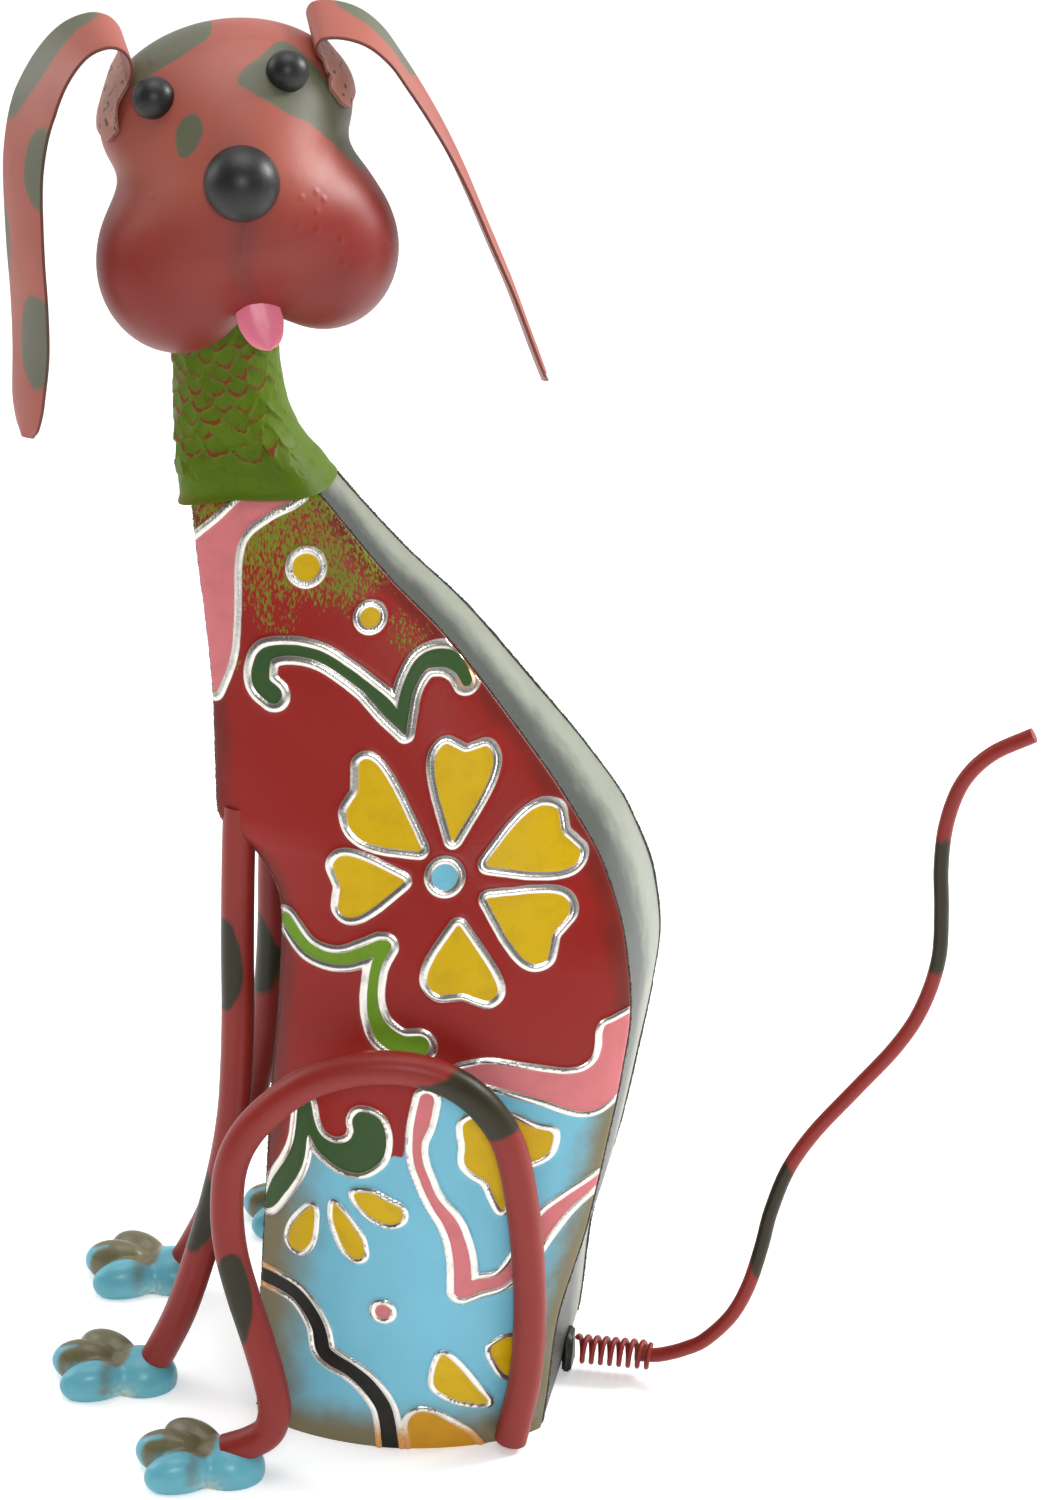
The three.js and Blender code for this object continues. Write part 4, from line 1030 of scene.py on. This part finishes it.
def tube_tree():
    tree, start, end = new_tree("bent_tube", ("Radius", "NodeSocketFloat", 0.006),
                                ("Sides", "NodeSocketInt", 32), ("Material", "NodeSocketMaterial", None))
    line, size, swell, ring, tube = nodes_of(
        tree, "GeometryNodeMeshToCurve", "GeometryNodeInputNamedAttribute", "GeometryNodeSetCurveRadius",
        "GeometryNodeCurvePrimitiveCircle", "GeometryNodeCurveToMesh")
    size.data_type = "FLOAT"
    size.inputs["Name"].default_value = "thick"
    tube.inputs["Fill Caps"].default_value = True
    link(tree, (start.outputs["Geometry"], line.inputs["Mesh"]), (line.outputs[0], swell.inputs["Curve"]),
         (size.outputs[0], swell.inputs["Radius"]), (start.outputs["Radius"], ring.inputs["Radius"]),
         (start.outputs["Sides"], ring.inputs["Resolution"]), (swell.outputs[0], tube.inputs["Curve"]),
         (ring.outputs[0], tube.inputs["Profile Curve"]))
    return close_tree(tree, tube.outputs[0], start, end)


def limb_finish(name, spots):
    material, paint = new_finish(name, Specular_IOR_Level=0.3)
    place = paint.place()
    cloudy = place.noise(80, 4)
    fine = place.noise(480, 3)
    base = place.noise(25, 2).tint(colour(122, 30, 26), colour(142, 42, 34))
    base = (fine.step(0.6, 0.8) * 0.25).tint(base, colour(90, 34, 26))
    ragged = (place.noise(70, 2) - 0.5) * 0.4
    for centre, radii in spots:
        spot = place.spot([v * MM for v in centre], [v * MM for v in radii], ragged, 0.07)
        base = (spot * 0.94).tint(base, cloudy.tint(colour(17, 29, 11), colour(29, 42, 20)))
    apply_finish(material, Base_Color=base, Roughness=0.36 + fine * 0.12,
                 Normal=(cloudy + fine * 0.3).bump(0.16, 0.0008))
    return material


def tube_piece(name, path, radius, sides, material, thick=((0, 1), (1, 1)), steps=8):
    """A tube or rod along a path, with its thickness given at shares of its length."""
    line = smooth_line(path, False, steps)
    length = run_length(line)
    return along_path(name, line, bent_tube, {"Radius": radius * MM, "Sides": sides, "Material": material},
                      {"thick": through(thick, length / length[-1])})


bent_tube = tube_tree()
limb_red = limb_finish("sprayed_limb_red", [
    ((-64, -36, 179), (8, 12, 19)), ((-77, -38, 78), (9, 9, 19)), ((-66, 33, 150), (8, 9, 20)),
    ((-88, 36, 40), (9, 9, 18)), ((33, -72, 149), (24, 14, 14)), ((-51, -92, 72), (8, 9, 21)),
    ((33, 72, 149), (24, 14, 14)), ((-51, 90, 90), (8, 9, 18))])
legs = [("front", FRONT_LEG, 240, FAR_FRONT, FRONT_THICK), ("hind", HIND_LEG, 170, FAR_HIND, HIND_THICK)]
for side, hand in HANDS:
    for place, path, height, far, thick in legs:
        farther = far if side > 0 else 0
        bent = [(x - farther * (1 - z / height), side * y, z) for x, y, z in path]
        leg = tube_piece(f"{place}_tube_{hand}", bent, 6, 36, limb_red, thick)
        fit(leg, "limb_red", f"{place}_leg_{hand}")


# Paws: small castings with a heel and three toes, flat underneath, brazed to the ends of the legs.
# They are painted turquoise with a bronze wash sprayed across the toes; the pale gleam by the joint is a
# painted highlight.
TOES = [((10, 0, 3), (13.5, 12, 11)), ((-11.5, 0, 6.5), (13, 7.4, 9)), ((-5.5, -11, 5), (13, 7, 8.5)),
        ((-5.5, 11, 5), (13, 7, 8.5))]
TOE_TURNS = [0, 0, 24, -24]


def paw_finish():
    material, paint = new_finish("turquoise_bronze", Specular_IOR_Level=0.45, Coat_Weight=0.1,
                                 Coat_Roughness=0.2)
    place = paint.place()
    cloudy = place.noise(150, 4)
    fine = place.noise(520, 3)
    base = place.noise(60, 2).tint(colour(84, 162, 180), colour(104, 178, 194))
    wash = (paint.layer("wash") + (place.noise(95, 3) - 0.5) * 0.6).step(0.22, 0.8)
    base = (wash * 0.9).tint(base, fine.tint(colour(92, 74, 16), colour(118, 96, 32)))
    # Painted highlight: a pale, half-metallic gleam low on each paw's near side.
    gleam = paint.layer("painted_gleam") * fine.step(0.3, 0.7) * 0.8
    base = gleam.tint(base, colour(226, 214, 176))
    apply_finish(material, Base_Color=base, Roughness=0.3 + fine * 0.14, Metallic=gleam * 0.6,
                 Normal=(cloudy + fine * 0.4 + gleam * 0.8).bump(0.3, 0.0008))
    return material


def paw(name, x, y, material):
    columns, rows = 168, 63
    turn, rise = np.meshgrid(np.linspace(0, 2 * math.pi, columns, endpoint=False),
                             np.linspace(0, math.pi / 2, rows + 1)[:-1])
    directions = np.stack([np.cos(rise) * np.cos(turn), np.cos(rise) * np.sin(turn), np.sin(rise)], -1)
    directions = np.vstack([directions.reshape(-1, 3), (0, 0, 1)])
    points = reach(lambda p: lobe_distance(p, TOES, 2.6, TOE_TURNS), np.zeros(3), directions)
    px, py, pz = points.T
    far = np.clip((py + 10) / 5, 0, 1)
    wash = far * np.clip((px + 25) / 6, 0, 1) * np.clip((10 - px) / 8, 0, 1)
    wash = wash - 0.6 * np.exp(-((py + 2.5) / 1.6) ** 2) * np.clip((-10 - px) / 5, 0, 1)
    wash = wash + 0.5 * np.exp(-(px / 4) ** 2) * np.clip(pz / 4, 0, 1)
    # Painted highlight: one soft pale spot low on the near side of the paw.
    painted_gleam = np.exp(-((px - 5) / 6) ** 2 - ((py + 11) / 5) ** 2 - (pz / 4.5) ** 2)
    crest = rows * columns
    last = crest - columns
    faces = ring_faces(columns, rows)
    faces += [[last + c, last + (c + 1) % columns, crest] for c in range(columns)]
    faces.append(list(range(columns))[::-1])
    return new_piece(name, points + (x, y, 0), faces, material, {"wash": wash, "painted_gleam": painted_gleam}, 60)


turquoise = paw_finish()
paws = [("front", -110, FAR_FRONT, 37), ("hind", -63.5, FAR_HIND, 92)]
for side, hand in HANDS:
    for place, x, far, y in paws:
        cast = paw(f"{place}_paw_{hand}", x - (far if side > 0 else 0), side * y, turquoise)
        fit(cast, "paw_turquoise", f"paw_{place}_{hand}")


# Tail tab: a short piece of black flat bar welded to the foot of the back strip, with rounded edges.
# It carries the spring.
def tail_tab():
    foot = float(through(BACK_EDGE, 9))
    shape = bmesh.new()
    bmesh.ops.create_cube(shape, size=1)
    for v in shape.verts:
        v.co = ((foot + 2.2 + 3.4 * v.co.x) * MM, 12 * v.co.y * MM, (9 + 14 * v.co.z) * MM)
    bmesh.ops.bevel(shape, geom=shape.edges[:], offset=0.8 * MM, segments=3, affect="EDGES")
    mesh = bpy.data.meshes.new("black_tab")
    shape.to_mesh(mesh)
    shape.free()
    mesh.materials.append(satin_black)
    mesh.polygons.foreach_set("use_smooth", np.ones(len(mesh.polygons), bool))
    return add_object("black_tab", mesh)


fit(tail_tab(), "black", "tail_bracket")


# Tail spring: eight open turns of hard wire between the tab and the tail, painted with the tail.
# Its axis lies along the ground.
SPRING_TURNS = 8
SPRING_LENGTH = 28
SPRING_RADIUS = 4.7
SPRING_HEIGHT = 9.5
spring_start = float(through(BACK_EDGE, 16)) + 4.8
share = np.linspace(0, 1, 24 * SPRING_TURNS + 1)
angle = 2 * math.pi * SPRING_TURNS * share
coil = np.stack([spring_start + SPRING_LENGTH * share, SPRING_RADIUS * np.sin(angle),
                 SPRING_HEIGHT + SPRING_RADIUS * np.cos(angle)], 1)
tail_red = limb_finish("sprayed_tail_red", [((190, 0, 206), (9, 9, 27)), ((133, 0, 72), (10, 9, 28))])
fit(tube_piece("coil_spring", coil, 1, 14, tail_red, steps=1), "limb_red", "tail_spring")


# Tail: a bent rod that is wound into the spring's last turns and swings up and back to a rounded tip.
# It is painted red with two dark green stretches.
TAIL = [(82, 0, 9.5), (89, 0, 9.6), (95, 0, 11.2), (101, 0, 13.8), (108.3, 0, 18.4), (117.9, 0, 29.7),
        (124.2, 0, 43.5), (128.7, 0, 60.6), (131.8, 0, 75.6), (137.6, 0, 93.6), (146.8, 0, 110),
        (160.5, 0, 128.2), (175.6, 0, 148.2), (184.4, 0, 164.8), (189.6, 0, 184.4), (190, 0, 203.4),
        (189.2, 0, 222), (190.6, 0, 239), (195.6, 0, 254.6), (205, 0, 266), (219.5, 0, 274.5)]
TAIL_THICK = [(0, 0.9), (0.03, 1), (0.95, 1), (0.985, 0.95), (1, 0.7)]
fit(tube_piece("tail_rod", TAIL, 2.75, 24, tail_red, TAIL_THICK), "limb_red", "tail")


# Studio: a plain pale floor under soft lights, and a camera a little above the dog, on its left.
def soft_light(name, place, aim, size, power):
    lamp = bpy.data.lights.new(name, "AREA")
    lamp.energy = power
    lamp.shape = "DISK"
    lamp.size = size
    obj = add_object(name, lamp)
    obj.location = place
    obj.rotation_euler = (Vector(aim) - Vector(place)).to_track_quat("-Z", "Y").to_euler()


def studio_floor():
    material, paint = new_finish("pale_floor", Roughness=0.9, Specular_IOR_Level=0.1,
                                 Emission_Color=(1, 1, 1, 1), Emission_Strength=0.3)
    grain = paint.place().noise(3, 2)
    apply_finish(material, Base_Color=grain.tint(colour(246, 246, 246), colour(250, 250, 250)))
    mesh = bpy.data.meshes.new("floor")
    mesh.from_pydata([(-9, -9, 0), (9, -9, 0), (9, 9, 0), (-9, 9, 0)], [], [(0, 1, 2, 3)])
    mesh.materials.append(material)
    floor = add_object("floor", mesh)


studio_floor()
world = bpy.data.worlds.new("studio")
world.use_nodes = True
backdrop = world.node_tree.nodes["Background"]
backdrop.inputs["Color"].default_value = (1, 1, 1, 1)
towards = Paint(world.node_tree).node("ShaderNodeTexCoord", None, None, 0)
glow = towards.part(1).step(-0.6, 0.4) * 0.8 + 0.06
world.node_tree.links.new(glow.socket, backdrop.inputs["Strength"])
bpy.context.scene.world = world
bpy.context.scene.view_settings.view_transform = "Standard"
soft_light("overhead", (0.0, 0.0, 2.1), (0, 0, 0.3), 1.4, 17)
soft_light("from_right", (1.25, 0.7, 1.1), (0, 0, 0.4), 0.55, 27)
soft_light("from_front", (0.4, -1.7, 1.2), (0, 0, 0.25), 0.5, 13)
soft_light("from_left", (-1.3, 0.2, 0.9), (0, 0, 0.4), 0.8, 5)

camera = add_object("camera", bpy.data.cameras.new("camera"))
camera.data.sensor_fit = "VERTICAL"
camera.data.sensor_height = 24
camera.data.lens = 72.48
camera.location = (0.2943, -1.4509, 0.9108)
camera.rotation_euler = (math.radians(66), 0, math.radians(10))
bpy.context.scene.camera = camera

bpy.context.view_layer.update()
